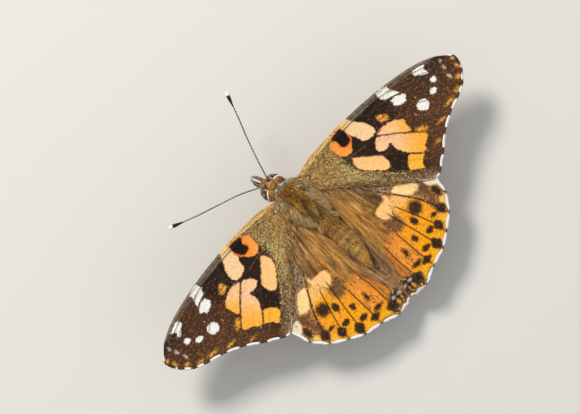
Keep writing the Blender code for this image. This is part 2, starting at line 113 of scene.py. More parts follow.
# The forewings. Each is a stiff membrane no thicker than paper, held out by branching veins and
# tiled all over with tiny coloured scales. It is drawn in its own plan, u out from the body and v
# to the tail, cut from one fine sheet, raised along its veins, and coloured mark by mark.
WING_SLOPE = 0.045
WING_BOW = 0.35
FULL_REACH = 33.4
SHEET_STEP = 0.115  # between the points of the fine sheet
HALF_SHEET = 0.05
FORE_LEVEL = 0.14
FORE_FRONT = ((1.1, 0.0), (3.0, -0.62), (5.8, -1.26), (8.0, -1.42), (14.5, -1.35), (20.5, -0.82), (26.4, 0.25))
FORE_FRONT_TIP = ((30.5, 1.75), (32.7, 3.5))
FORE_CRESTS = (
    (33.45, 4.55),
    (33.2, 5.6),
    (32.5, 6.85),
    (31.0, 8.35),
    (29.0, 9.25),
    (26.2, 10.1),
    (23.4, 11.5),
    (20.8, 13.5),
    (18.2, 15.2),
)
FORE_BACK = ((17.0, 15.4), (15.8, 14.9), (12.2, 11.85), (8.6, 8.3), (5.4, 5.0), (3.2, 3.0), (1.1, 2.3))
FORE_VEINS = {
    "subcosta": ((2.6, 0.2), (4.2, 0.0), (7.0, -0.5), (10.0, -0.8), (16.0, -0.78)),
    "radius": (
        (2.6, 0.6),
        (4.2, 0.5),
        (10.0, -0.45),
        (16.5, -0.15),
        (21.0, 0.3),
        (24.5, 1.15),
        (28.5, 2.9),
        (32.7, 5.2),
    ),
    "radius_1": ((13.0, -0.3), (18.0, -0.45), (21.5, -0.3), (25.0, 0.1)),
    "radius_3": ((23.0, 0.7), (27.0, 1.5), (31.2, 3.0)),
    "radius_5": ((22.0, 0.55), (25.5, 2.3), (29.3, 4.4), (32.0, 6.5)),
    "media_1": ((17.2, 1.0), (21.4, 1.5), (24.0, 2.5), (27.7, 5.2), (30.6, 8.0)),
    "media_2": ((17.5, 2.4), (21.5, 3.7), (25.5, 6.3), (28.7, 8.9)),
    "media_3": ((16.4, 3.9), (17.6, 3.62), (19.0, 3.95), (20.7, 5.3), (23.4, 7.7), (26.0, 9.75)),
    "cubitus_1": ((15.6, 3.95), (18.3, 6.3), (21.3, 9.3), (23.2, 11.1)),
    "cubitus_2": ((11.0, 3.6), (14.2, 7.0), (17.0, 9.75), (20.5, 13.1)),
    "stem": ((3.0, 1.2), (4.3, 1.6), (7.5, 2.7), (11.0, 3.45), (14.0, 3.85), (16.4, 3.9)),
    "cell_end": ((16.4, 3.9), (17.0, 3.0), (17.3, 2.0), (17.2, 1.0), (16.5, -0.15)),
    "anal": ((3.0, 2.0), (4.2, 2.4), (7.0, 4.3), (10.0, 6.6), (13.2, 9.8), (15.2, 12.0), (17.9, 14.8)),
}


def run_through(points, step, closed=False, turn=0.5):
    """A smooth line through the points, in steps of about one length. Less turn keeps corners."""
    points = np.array(points, float)
    if closed:
        knots = np.vstack((points[-1], points, points[0], points[1]))
    else:
        knots = np.vstack((2 * points[0] - points[1], points, 2 * points[-1] - points[-2]))
    line = []
    for before, start, end, after in zip(knots, knots[1:], knots[2:], knots[3:]):
        count = max(1, round(float(np.linalg.norm(end - start)) / step))
        t = (np.arange(count) / count)[:, None]
        leaving, arriving = turn * (end - before), turn * (after - start)
        line.append(
            (2 * t**3 - 3 * t**2 + 1) * start
            + (t**3 - 2 * t**2 + t) * leaving
            + (3 * t**2 - 2 * t**3) * end
            + (t**3 - t**2) * arriving
        )
    if not closed:
        line.append(points[-1:])
    return np.vstack(line)


def scalloped(crests, dip=0.3):
    """The outer margin: the ends of the veins stand out, with a shallow dip between each two."""
    line = []
    for (u0, v0), (u1, v1) in zip(crests, crests[1:]):
        length = math.hypot(u1 - u0, v1 - v0)
        count = max(3, round(length / SHEET_STEP))
        for t in np.arange(count) / count:
            depth = dip * min(1.0, length / 2.5) * math.sin(math.pi * t) ** 0.8
            line.append((u0 + t * (u1 - u0) + depth * (v0 - v1) / length, v0 + t * (v1 - v0) + depth * (u1 - u0) / length))
    return np.array([*line, crests[-1]])


def ripple(points, size, seed):
    """Smooth random values from -1 to 1 over a plan, with swells about one size across."""
    heights = np.random.default_rng(seed).uniform(-1.0, 1.0, (97, 97))
    at = points / size
    cell = np.floor(at).astype(int)
    t = at - cell
    t = t * t * (3 - 2 * t)
    a, b = cell[:, 0] % 97, cell[:, 1] % 97
    c, d = (a + 1) % 97, (b + 1) % 97
    near = heights[a, b] * (1 - t[:, 0]) + heights[c, b] * t[:, 0]
    far = heights[a, d] * (1 - t[:, 0]) + heights[c, d] * t[:, 0]
    return near * (1 - t[:, 1]) + far * t[:, 1]


def ease(t):
    t = np.clip(t, 0.0, 1.0)
    return t * t * (3 - 2 * t)


def depth_inside(points, loop, reach=1.0):
    """How deep each point lies inside a closed line, below zero outside it, to a given reach."""
    depth = np.full(len(points), -reach)
    near = ((points > loop.min(0) - reach) & (points < loop.max(0) + reach)).all(1)
    close = points[near]
    inside = np.zeros(len(close), bool)
    far = np.full(len(close), 1e9)
    for start, end in zip(loop, np.roll(loop, -1, 0)):
        way = end - start
        t = np.clip(((close - start) @ way) / max(1e-12, way @ way), 0.0, 1.0)
        far = np.minimum(far, np.linalg.norm(close - start - t[:, None] * way, axis=1))
        if start[1] != end[1]:
            spans = (start[1] > close[:, 1]) != (end[1] > close[:, 1])
            crossing = start[0] + (close[:, 1] - start[1]) / (end[1] - start[1]) * way[0]
            inside ^= spans & (close[:, 0] < crossing)
    depth[near] = np.where(inside, far, -far)
    return depth


def line_distance(points, line):
    """The distance from each point to an open line, and the share of the line passed there."""
    far, share = np.full(len(points), 1e9), np.zeros(len(points))
    for index, (start, end) in enumerate(zip(line, line[1:])):
        way = end - start
        t = np.clip(((points - start) @ way) / (way @ way), 0.0, 1.0)
        this = np.linalg.norm(points - start - t[:, None] * way, axis=1)
        nearer = this < far
        far[nearer] = this[nearer]
        share[nearer] = (index + t[nearer]) / (len(line) - 1)
    return far, share


class Sheet:
    """The colours of one face of a wing, laid on mark by mark."""

    def __init__(self, at, seed):
        self.at = at
        self.ragged = at + 0.10 * np.stack((ripple(at, 0.4, seed), ripple(at, 0.4, seed + 1)), 1)
        self.ragged += 0.05 * np.stack((ripple(at, 0.15, seed + 2), ripple(at, 0.15, seed + 3)), 1)
        self.grit = np.random.default_rng(seed + 4).normal(0.0, 1.0, len(at))
        self.tone = np.zeros((len(at), 3))
        self.dust = np.zeros((len(at), 4))  # shares of dark, golden and rusty scales, and of silk

    def wash(self, tone, share=1.0, dust=None):
        """A colour over all the sheet, by a share at each point."""
        share = np.broadcast_to(share, len(self.at))[:, None]
        self.tone += (np.array(tone, float) - self.tone) * share
        if dust is not None:
            self.dust += (np.array(dust, float) - self.dust) * share

    def mark(self, loop, tone, soft=0.1, share=1.0, dust=(0.0, 0.0, 0.0, 0.0), turn=0.4, to=None, way=None):
        """A mark with one outline. Its colour may change to another between two places."""
        inside = depth_inside(self.ragged, run_through(loop, 0.35, closed=True, turn=turn))
        inside += self.grit * (0.02 + 0.3 * soft)
        colour = np.array(tone, float)
        if to is not None:
            start, end = np.array(way, float)
            t = ease(((self.at - start) @ (end - start)) / ((end - start) @ (end - start)))
            colour = colour + (np.array(to, float) - colour) * t[:, None]
        self.wash(colour, share * ease(0.5 + inside / (2 * soft)), dust)

    def spot(self, middle, size, tone, soft=0.12, share=1.0, dust=(0.0, 0.0, 0.0, 0.0), power=2.0):
        """A round or oval spot, or with a power below two one with four points."""
        far = (np.abs((self.ragged - middle) / size) ** power).sum(1) ** (1.0 / power)
        inside = (1.0 - far) * min(size) + self.grit * (0.02 + 0.3 * soft)
        self.wash(tone, share * ease(0.5 + inside / (2 * soft)), dust)

    def line(self, points, tone, half_width, soft=0.05, share=1.0):
        far, _ = line_distance(self.at, run_through(points, 0.5))
        self.wash(tone, share * ease(0.5 + (half_width - far) / (2 * soft)))


fore_outline = np.vstack((
    run_through((*FORE_FRONT, *FORE_FRONT_TIP, FORE_CRESTS[0]), SHEET_STEP)[:-1],
    scalloped(FORE_CRESTS)[:-1],
    run_through((FORE_CRESTS[-1], *FORE_BACK), SHEET_STEP),
))
CELL_PATCH = (
    (12.85, -1.1),
    (14.45, -1.42),
    (15.1, -0.15),
    (15.8, 0.85),
    (16.3, 2.0),
    (16.35, 3.1),
    (15.9, 3.62),
    (15.2, 3.68),
    (14.3, 3.5),
    (13.6, 2.9),
    (13.55, 2.0),
    (13.1, 1.25),
    (13.05, 0.3),
)
FOLD_PATCH = (
    (10.6, 3.62),
    (10.98, 3.87),
    (12.18, 5.02),
    (13.58, 6.32),
    (14.02, 6.9),
    (13.95, 8.2),
    (13.45, 8.9),
    (12.8, 8.85),
    (11.4, 7.55),
    (10.35, 6.2),
    (9.9, 5.3),
    (10.1, 4.2),
)
UPPER_PATCH = ((15.9, 3.95), (17.0, 3.62), (18.6, 3.92), (20.2, 4.85), (20.5, 5.4), (20.2, 6.3), (19.85, 7.4), (18.2, 6.0))
LOWER_PATCH = (
    (15.55, 4.2),
    (14.25, 5.1),
    (14.05, 5.7),
    (14.3, 6.2),
    (15.2, 6.5),
    (16.3, 6.35),
    (16.2, 7.3),
    (16.55, 8.75),
    (17.4, 9.9),
    (18.55, 11.2),
    (19.35, 11.05),
    (19.8, 10.4),
    (21.05, 9.9),
    (21.15, 9.2),
    (19.0, 7.0),
    (17.4, 5.5),
)
YELLOW_PATCH = (
    (16.4, 9.95),
    (17.05, 9.8),
    (17.9, 10.8),
    (18.5, 11.35),
    (17.8, 11.8),
    (17.2, 12.3),
    (16.9, 12.95),
    (16.0, 12.4),
    (15.1, 11.6),
    (15.3, 10.9),
    (15.8, 10.4),
)
WHITE_LOW = (
    (21.4, 1.72),
    (22.35, 1.8),
    (23.2, 2.25),
    (23.75, 2.85),
    (23.3, 3.2),
    (23.1, 3.6),
    (22.35, 3.5),
    (21.55, 3.1),
    (21.2, 2.7),
    (21.4, 2.15),
)
WHITE_HIGH = ((20.55, 0.22), (21.5, 0.4), (22.7, 0.48), (23.05, 1.15), (23.2, 1.8), (22.35, 1.53), (21.45, 1.23), (20.85, 0.8))
WHITE_EDGE = ((20.75, -0.72), (21.8, -0.6), (22.9, -0.2), (22.1, 0.12), (20.6, -0.05))
WHITE_BAR = ((27.0, 1.0), (28.05, 1.25), (29.15, 1.6), (28.6, 2.15), (28.75, 2.8), (28.55, 3.1), (27.75, 2.6), (26.9, 1.95))
MARK_SHIFT = np.array((0.0, 0.13))
OLIVE_ROOT = (
    (-1.0, -2.2),
    (9.4, -2.0),
    (9.5, -0.4),
    (9.35, 1.0),
    (9.35, 2.4),
    (9.55, 3.2),
    (9.2, 4.2),
    (9.35, 5.3),
    (10.4, 6.9),
    (11.6, 8.3),
    (13.0, 9.9),
    (14.6, 11.5),
    (16.3, 13.1),
    (17.2, 14.4),
    (17.6, 16.0),
    (14.0, 15.5),
    (4.0, 6.0),
    (-1.0, 4.0),
)


def fore_upper(at, seed):
    sheet = Sheet(at, seed)
    u, v = at[:, 0], at[:, 1]
    sheet.wash((38, 24, 16), dust=(0.1, 0.0, 0.04, 0.1))
    sheet.wash((70, 46, 29), ease((u + 0.35 * v - 20.0) / 3.5), (0.16, 0.003, 0.2, 0.5))
    sheet.wash((84, 55, 36), 0.7 * ease((u + 0.5 * v - 24.0) / 4.0) * ease((v - 5.0) / 3.0), (0.2, 0.006, 0.34, 0.6))
    sheet.wash((40, 34, 33), 0.85 * ease((u - 26.0) / 2.5) * ease((4.6 - v) / 2.4), (0.1, 0.0, 0.05, 0.2))
    grey = ripple(at, 1.1, seed + 9)
    sheet.mark(OLIVE_ROOT, (156, 127, 74), soft=0.3, dust=(0.3, 0.3, 0.1, 0.5))
    within = ease(0.5 + depth_inside(sheet.ragged, run_through(OLIVE_ROOT, 0.5, closed=True)) / 0.6)
    behind = ease((v - 0.9 * u + 3.2) / 2.6)
    sheet.wash((148, 128, 86), within * (0.35 + 0.2 * grey) * ease((u - 6.0) / 3.0))
    sheet.wash((112, 94, 66), within * 0.9 * ease((u + v - 17.0) / 5.0), (0.28, 0.1, 0.08, 1.2))
    sheet.wash((104, 80, 58), within * 0.85 * ease((u + v - 25.0) / 3.0), (0.3, 0.05, 0.2, 0.9))
    sheet.wash((154, 130, 92), within * 0.5 * behind * ease((u - 4.0) / 3.0) * ease((12.5 - u) / 2.0), (0.25, 0.2, 0.1, 1.0))
    sheet.wash((186, 140, 80), within * 0.8 * ease((7.8 - u) / 4.0), (0.3, 0.2, 0.14, 0.7))
    sheet.wash((170, 148, 90), within * 0.5 * ease(1.0 - np.abs(u - 8.6) / 1.8) * ease((v - 1.5) / 2.0))
    sheet.wash((128, 96, 52), within * 0.3 * ease(1.0 - np.abs(v - 1.2) / 1.8) * ease((u - 3.0) / 2.0))
    sheet.spot((7.7, 5.0), (2.2, 1.5), (206, 180, 118), soft=1.2, share=0.6, dust=(0.28, 0.25, 0.1, 0.8))
    far, _ = line_distance(at, run_through(FORE_BACK, 0.3))
    edge = ease(1.0 - far / 1.7)
    sheet.wash((126, 92, 60), 0.85 * edge * ease((12.0 - u) / 3.0), (0.3, 0.16, 0.12, 1.0))
    sheet.wash((146, 115, 88), 0.85 * edge * ease((u - 10.5) / 3.0), (0.25, 0.04, 0.12, 1.0))
    sheet.wash((212, 184, 164), 0.85 * ease(1.0 - far / 0.3) * ease((u - 8.0) / 3.0))
    sheet.wash((46, 31, 19), 0.75 * within * ease(1.0 - np.abs(u - 9.25) / 0.5) * ease((v - 2.6) / 0.8) * ease((5.6 - v) / 1.0))

    sheet.mark(((1.0, -1.3), (6.0, -1.75), (14.5, -1.7), (14.4, -0.9), (12.9, -0.85), (8.0, -0.72), (4.5, -0.35), (1.0, 0.0)),
               (198, 162, 82), soft=0.12, dust=(0.1, 0.1, 0.0, 0.8), turn=0.2, to=(232, 208, 150), way=((4.0, -1.0), (9.5, -1.4)))
    for shift, tone in ((0.5, (150, 124, 70)), (0.75, (236, 212, 158)), (1.0, (110, 84, 46)), (1.2, (228, 186, 96))):
        sheet.line(((1.6, shift - 0.5), (4.5, shift - 1.2), (8.0, shift - 1.5), (14.0, shift - 1.52)), tone, 0.05, share=0.75)
    sheet.wash((198, 142, 62), 0.8 * (u < 14.4) * ease((0.45 - depth_inside(at, fore_outline)) / 0.3) * ease((0.3 - v) / 0.3))
    sheet.mark(((14.5, -1.7), (20.7, -1.1), (27.0, 0.2), (31.4, 2.0), (30.0, 2.0), (26.3, 0.85), (20.5, -0.05), (14.95, -0.3)),
               (118, 104, 92), soft=0.12, share=0.9, dust=(0.1, 0.0, 0.0, 0.6), turn=0.2)
    for shift, tone in ((0.12, (176, 146, 112)), (0.42, (112, 104, 94)), (0.72, (44, 36, 32)), (0.95, (118, 110, 98))):
        sheet.line(((14.6, shift - 1.5), (20.6, shift - 0.98), (26.5, shift + 0.1), (30.4, shift + 1.35)), tone, 0.05, share=0.85)
    sheet.mark(((20.7, -1.1), (27.0, 0.0), (31.6, 2.0), (30.6, 2.0), (26.3, 0.55), (20.7, -0.75)), (150, 128, 108), share=0.5, turn=0.2)

    sheet.mark(((9.5, -0.25), (10.6, -0.75), (12.9, -0.9), (12.95, 1.2), (12.4, 2.1), (11.9, 2.7), (11.2, 3.0), (10.3, 2.9), (9.6, 2.2), (9.4, 1.0)),
               (250, 152, 62), soft=0.12, dust=(0.02, 0.06, 0.03, 0.0))
    sheet.mark(((10.55, -0.95), (13.0, -1.0), (13.0, 0.6), (12.8, 1.6), (12.0, 2.02), (11.1, 1.95), (10.55, 1.35), (10.7, 0.3), (10.4, -0.3)),
               (252, 116, 34), soft=0.2, share=0.9)
    sheet.spot((10.1, 0.1), (0.6, 0.5), (224, 150, 70), soft=0.4, share=0.7)
    sheet.mark(((10.75, -0.85), (12.85, -0.85), (12.8, 0.6), (12.6, 1.45), (11.9, 1.78), (11.2, 1.7), (10.75, 1.2), (10.95, 0.3), (10.6, -0.3)), (26, 17, 12))
    sheet.mark(((11.9, 2.5), (12.6, 1.75), (13.1, 1.5), (13.45, 2.0), (13.5, 2.9), (14.2, 3.6), (12.8, 3.5), (11.3, 3.15)), (38, 25, 17))
    sheet.mark(CELL_PATCH, (241, 199, 146), soft=0.08, to=(226, 186, 118), way=((14.2, 0.0), (13.6, -1.0)))
    sheet.mark(FOLD_PATCH + MARK_SHIFT, (251, 190, 124), soft=0.08)
    sheet.mark(UPPER_PATCH + MARK_SHIFT, (245, 188, 132), soft=0.08, to=(246, 170, 70), way=((18.0, 4.5), (20.2, 6.4)))
    sheet.mark(LOWER_PATCH + MARK_SHIFT, (243, 190, 143), soft=0.08, to=(251, 170, 62), way=((16.5, 6.5), (20.0, 9.8)))
    sheet.mark(YELLOW_PATCH + MARK_SHIFT, (248, 175, 58), soft=0.1)
    sheet.mark(((20.4, 7.9), (21.2, 8.0), (22.1, 8.8), (21.7, 9.3), (20.9, 8.8)), (240, 162, 46), soft=0.25, share=0.95, dust=(0.08, 0.0, 0.12, 0.0))
    sheet.mark(((17.85, 2.4), (18.25, 1.95), (18.75, 2.3), (19.35, 2.95), (19.25, 3.55), (18.3, 3.42), (17.75, 3.3)),
               (240, 164, 68), soft=0.2, share=0.97, dust=(0.05, 0.0, 0.08, 0.0))

    white = (236, 233, 223)
    for patch in (WHITE_LOW, WHITE_HIGH, WHITE_EDGE, WHITE_BAR):
        sheet.mark(patch + MARK_SHIFT, white, soft=0.08, dust=(0.02, 0.0, 0.0, 0.0))
    sheet.line(((20.7, 1.25), (22.0, 1.6), (23.4, 2.2)), (120, 84, 52), 0.09)
    sheet.mark(((20.6, -0.3), (22.3, 0.0), (22.7, 0.6), (20.8, 0.4)), white, soft=0.08)
    sheet.line(((20.6, 0.05), (22.9, 0.38)), (120, 104, 90), 0.03, share=0.7)
    for half in (1.45, 1.95):
        sheet.line(((26.8, half), (28.6, half + 0.55)), (190, 178, 160), 0.05, share=0.6)
    sheet.spot((24.2, 6.1), (1.0, 0.93), white, soft=0.08)
    sheet.spot((28.35, 4.5), (0.56, 0.52), white, soft=0.08)
    sheet.spot((26.95, 5.7), (0.64, 0.5), white, soft=0.08)
    for middle, size, share in (((31.25, 3.3), (0.22, 0.3), 0.75), ((30.85, 4.45), (0.26, 0.42), 0.8), ((30.4, 5.95), (0.22, 0.5), 0.85)):
        sheet.spot(middle, size, (238, 218, 200), soft=0.15, share=share)
    for middle, size in (((27.3, 8.75), (0.95, 0.3)), ((29.65, 8.3), (0.6, 0.33)), ((31.3, 7.05), (0.45, 0.35)),
                         ((32.45, 5.6), (0.3, 0.42)), ((32.85, 4.35), (0.28, 0.3)), ((24.3, 9.85), (0.75, 0.25)), ((21.5, 11.75), (0.5, 0.22))):
        sheet.spot(middle, size, (240, 168, 58), soft=0.22, share=0.92, dust=(0.06, 0.0, 0.1, 0.0))

    sheet.spot((3.7, 0.66), (0.5, 0.42), (44, 32, 22), soft=0.1)
    sheet.spot((3.72, 0.66), (0.24, 0.2), (250, 248, 244), soft=0.06)
    bright = ease((sheet.tone.mean(1) - 110.0) / 60.0)
    for name, vein in FORE_VEINS.items():
        far, share = line_distance(at, run_through(vein, 0.5))
        band = ease(1.0 - far / (0.15 - 0.05 * share))
        dark = 0.9 if name in ("cubitus_1", "cubitus_2", "media_3", "stem") else 0.55
        sheet.wash((52, 33, 20), band * dark * bright * (u > 9.4))
        sheet.wash((96, 66, 38), band * 0.55 * within * (u <= 9.4))
        sheet.wash((104, 88, 74), band * 0.3 * (1.0 - bright) * (1.0 - within))
    sheet.line(((15.9, 10.4), (17.0, 11.3), (18.4, 12.6)), (196, 128, 40), 0.05, share=0.7)
    sheet.line(((8.5, 2.95), (10.8, 3.45), (13.6, 3.9)), (128, 112, 96), 0.05, share=0.55)
    return sheet


def fore_under(at, seed):
    sheet = Sheet(at, seed)
    u, v = at[:, 0], at[:, 1]
    sheet.wash((222, 138, 92), dust=(0.05, 0.0, 0.1, 0.2))
    sheet.wash((226, 150, 84), ease((v - 6.0) / 4.0))
    sheet.wash((176, 150, 114), ease((u - 21.5) / 2.0) * ease((8.5 - v + 0.4 * (u - 22.0)) / 2.0), (0.2, 0.2, 0.1, 0.2))
    sheet.wash((190, 160, 122), ease((-0.35 - v) / 0.5) * (u < 14.0), (0.25, 0.1, 0.0, 0.2))
    sheet.mark(((20.0, 10.5), (24.5, 8.6), (30.5, 7.6), (33.0, 8.5), (24.0, 13.0), (17.0, 16.5), (15.0, 14.0)),
               (150, 120, 88), soft=0.5, dust=(0.25, 0.1, 0.1, 0.2))
    black = (34, 23, 18)
    sheet.mark(((13.6, 4.0), (16.2, 4.1), (16.0, 6.3), (15.7, 9.6), (13.2, 10.9), (12.6, 9.2), (14.1, 8.4), (14.2, 6.6), (13.2, 5.6)), black, soft=0.15)
    sheet.mark(((16.6, -0.8), (20.2, -0.6), (20.6, 1.3), (20.9, 3.4), (21.6, 6.0), (20.6, 5.0), (19.0, 3.6), (16.9, 3.2), (16.4, 1.6)), black, soft=0.15)
    sheet.mark(((20.6, 5.6), (23.0, 4.6), (26.0, 4.2), (26.3, 6.6), (24.0, 8.3), (21.6, 9.0), (20.4, 7.6)), black, soft=0.2)
    sheet.mark(((10.8, -0.7), (12.9, -0.7), (12.6, 1.5), (11.0, 1.8)), black, soft=0.12)
    sheet.mark(((11.9, 2.5), (12.9, 1.6), (13.5, 2.9), (14.2, 3.6), (11.4, 3.2)), black, soft=0.15)
    sheet.mark(CELL_PATCH, (246, 214, 176), soft=0.12)
    white = (243, 238, 226)
    for patch in (WHITE_LOW, WHITE_HIGH, WHITE_EDGE, WHITE_BAR):
        sheet.mark(patch, white, soft=0.1)
    sheet.spot((24.2, 5.95), (1.0, 0.95), white)
    sheet.spot((28.35, 4.4), (0.55, 0.5), white)
    sheet.spot((26.95, 5.6), (0.62, 0.5), white)
    sheet.spot((30.6, 4.6), (0.5, 1.9), (214, 200, 176), soft=0.4, share=0.7)
    for name, vein in FORE_VEINS.items():
        far, share = line_distance(at, run_through(vein, 0.5))
        sheet.wash((96, 62, 40), 0.6 * ease(1.0 - far / 0.13))
    return sheet


def bowed(u):
    return WING_SLOPE * u + WING_BOW * np.sin(np.pi * np.clip(u / FULL_REACH, 0.0, 1.0))


def fore_place(side, at):
    """A forewing's plan in the butterfly's own frame. The pair stands turned by two degrees."""
    u, v = at[:, 0], at[:, 1]
    return np.stack((side * u + 0.6 - 0.032 * v, v - 0.021 * side * u, FORE_LEVEL + bowed(u)), 1)


def fore_relief(at):
    """Veins stand up, and the membrane sags a little between them."""
    raised = np.zeros(len(at))
    sag = np.full(len(at), 9.0)
    for vein in FORE_VEINS.values():
        far, share = line_distance(at, run_through(vein, 0.5))
        raised = np.maximum(raised, (0.13 - 0.06 * share) * ease(1.0 - far / (0.3 - 0.12 * share)))
        sag = np.minimum(sag, far)
    return raised - 0.1 * ease(sag / 1.4) + 0.012 * ripple(at, 0.5, 31)


def fore_grain(at):
    """Across and along coordinates that fan out with the veins, in millimetres, for the scales."""
    away = at - np.array((-4.0, 0.0))
    return np.stack((np.arctan2(away[:, 1], away[:, 0]) * 22.0, np.linalg.norm(away, axis=1)), 1)


def new_piece(name, points, triangles, smooth=True):
    """An object of its own from stood points and triangles."""
    mesh = bpy.data.meshes.new(name)
    mesh.vertices.add(len(points))
    mesh.vertices.foreach_set("co", stood(points).astype(np.float32).ravel())
    mesh.loops.add(3 * len(triangles))
    mesh.loops.foreach_set("vertex_index", triangles.astype(np.int32).ravel())
    mesh.polygons.add(len(triangles))
    mesh.polygons.foreach_set("loop_start", np.arange(len(triangles), dtype=np.int32) * 3)
    mesh.update(calc_edges=True)
    if smooth:
        mesh.shade_smooth()
    made = bpy.data.objects.new(name, mesh)
    bpy.context.scene.collection.objects.link(made)
    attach(made, "root")
    return made


def give_colours(piece, name, values):
    """A colour at each point, four values or three."""
    values = np.column_stack((values, np.ones(len(values)))) if values.shape[1] == 3 else values
    layer = piece.data.attributes.new(name, "FLOAT_COLOR", "POINT")
    layer.data.foreach_set("color", values.astype(np.float32).ravel())


def give_map(piece, name, places):
    """A UV map from one place for each point."""
    corners = np.empty(len(piece.data.loops), np.int32)
    piece.data.loops.foreach_get("vertex_index", corners)
    layer = piece.data.uv_layers.new(name=name)
    layer.uv.foreach_set("vector", places[corners].astype(np.float32).ravel())


def cut_sheet(outline):
    """Points and triangles that fill an outline closely."""
    rise = SHEET_STEP * math.sqrt(3) / 2
    low, high = outline.min(0), outline.max(0)
    rows = np.arange(low[1], high[1], rise)
    lattice = [np.stack((np.arange(low[0] + (i % 2) * SHEET_STEP / 2, high[0], SHEET_STEP), np.full_like(np.arange(low[0] + (i % 2) * SHEET_STEP / 2, high[0], SHEET_STEP), row)), 1) for i, row in enumerate(rows)]
    lattice = np.vstack(lattice)
    lattice = lattice[depth_inside(lattice, outline) > 0.5 * SHEET_STEP]
    points = [Vector(point) for point in np.vstack((outline, lattice))]
    count = len(outline)
    edges = [(i, (i + 1) % count) for i in range(count)]
    flat, _, triangles, _, _, _ = delaunay_2d_cdt(points, edges, [list(range(count))], 1, 1e-4)
    return np.array([tuple(point) for point in flat]), np.array(triangles)


def make_wing(name, side, plan, place, relief, grain, faces, bake_shift, material):
    """A closed thin sheet: an upper and an under face on the same plan, joined round the rim."""
    at, triangles = plan
    count = len(at)
    middle = place(side, at)
    step = 0.02
    along_u = place(side, at + (step, 0.0)) - place(side, at - (step, 0.0))
    along_v = place(side, at + (0.0, step)) - place(side, at - (0.0, step))
    normal = np.cross(along_u, along_v)
    normal /= np.linalg.norm(normal, axis=1)[:, None]
    normal[normal[:, 2] < 0.0] *= -1.0
    lift = relief(at)[:, None]
    points = np.vstack((middle + normal * (HALF_SHEET + lift), middle + normal * (0.5 * lift - HALF_SHEET)))
    a, b, c = (middle[triangles[:, i]] for i in range(3))
    upward = np.cross(b - a, c - a)[:, 2] > 0.0
    top = np.where(upward[:, None], triangles, triangles[:, ::-1])
    ends = np.vstack((top[:, (0, 1)], top[:, (1, 2)], top[:, (2, 0)]))
    key = ends[:, 0].astype(np.int64) * count + ends[:, 1]
    twin = ends[:, 1].astype(np.int64) * count + ends[:, 0]
    rim = ends[~np.isin(key, twin)]
    walls = np.vstack((
        np.stack((rim[:, 1], rim[:, 0], rim[:, 0] + count), 1),
        np.stack((rim[:, 1], rim[:, 0] + count, rim[:, 1] + count), 1),
    ))
    piece = new_piece(name, points, np.vstack((top, top[:, ::-1] + count, walls)))
    upper, under = faces
    give_colours(piece, "Marks", np.vstack((linear(upper.tone), linear(under.tone))))
    give_colours(piece, "Dust", np.vstack((upper.dust, under.dust)))
    give_map(piece, "Scales", np.vstack((grain(at), grain(at) + (3.0, 50.0))))
    sheet_uv = (at + (1.5, 2.6)) / 37.0
    give_map(piece, "OFBake", np.vstack((sheet_uv, sheet_uv + bake_shift)))
    piece.data.materials.append(material)
    return piece


def node_at(tree, kind, **settings):
    """One shader node, its settings and inputs given by name."""
    made = tree.nodes.new(kind)
    for name, value in settings.items():
        if hasattr(made, name):
            setattr(made, name, value)
        else:
            made.inputs[name.replace("_", " ")].default_value = value
    return made


def blend_node(tree, kind, factor, first, second):
    """A colour mix of two sockets or colours by a factor."""
    mix = tree.nodes.new("ShaderNodeMix")
    mix.data_type = "RGBA"
    mix.blend_type = kind
    for index, value in ((0, factor), (6, first), (7, second)):
        if isinstance(value, bpy.types.NodeSocket):
            tree.links.new(value, mix.inputs[index])
        else:
            mix.inputs[index].default_value = value
    return mix.outputs[2]


def sum_node(tree, operation, first, second=0.0, third=0.0):
    """A number worked out from sockets or numbers."""
    made = tree.nodes.new("ShaderNodeMath")
    made.operation = operation
    for socket, value in zip(made.inputs, (first, second, third)):
        if isinstance(value, bpy.types.NodeSocket):
            tree.links.new(value, socket)
        else:
            socket.default_value = value
    return made.outputs[0]


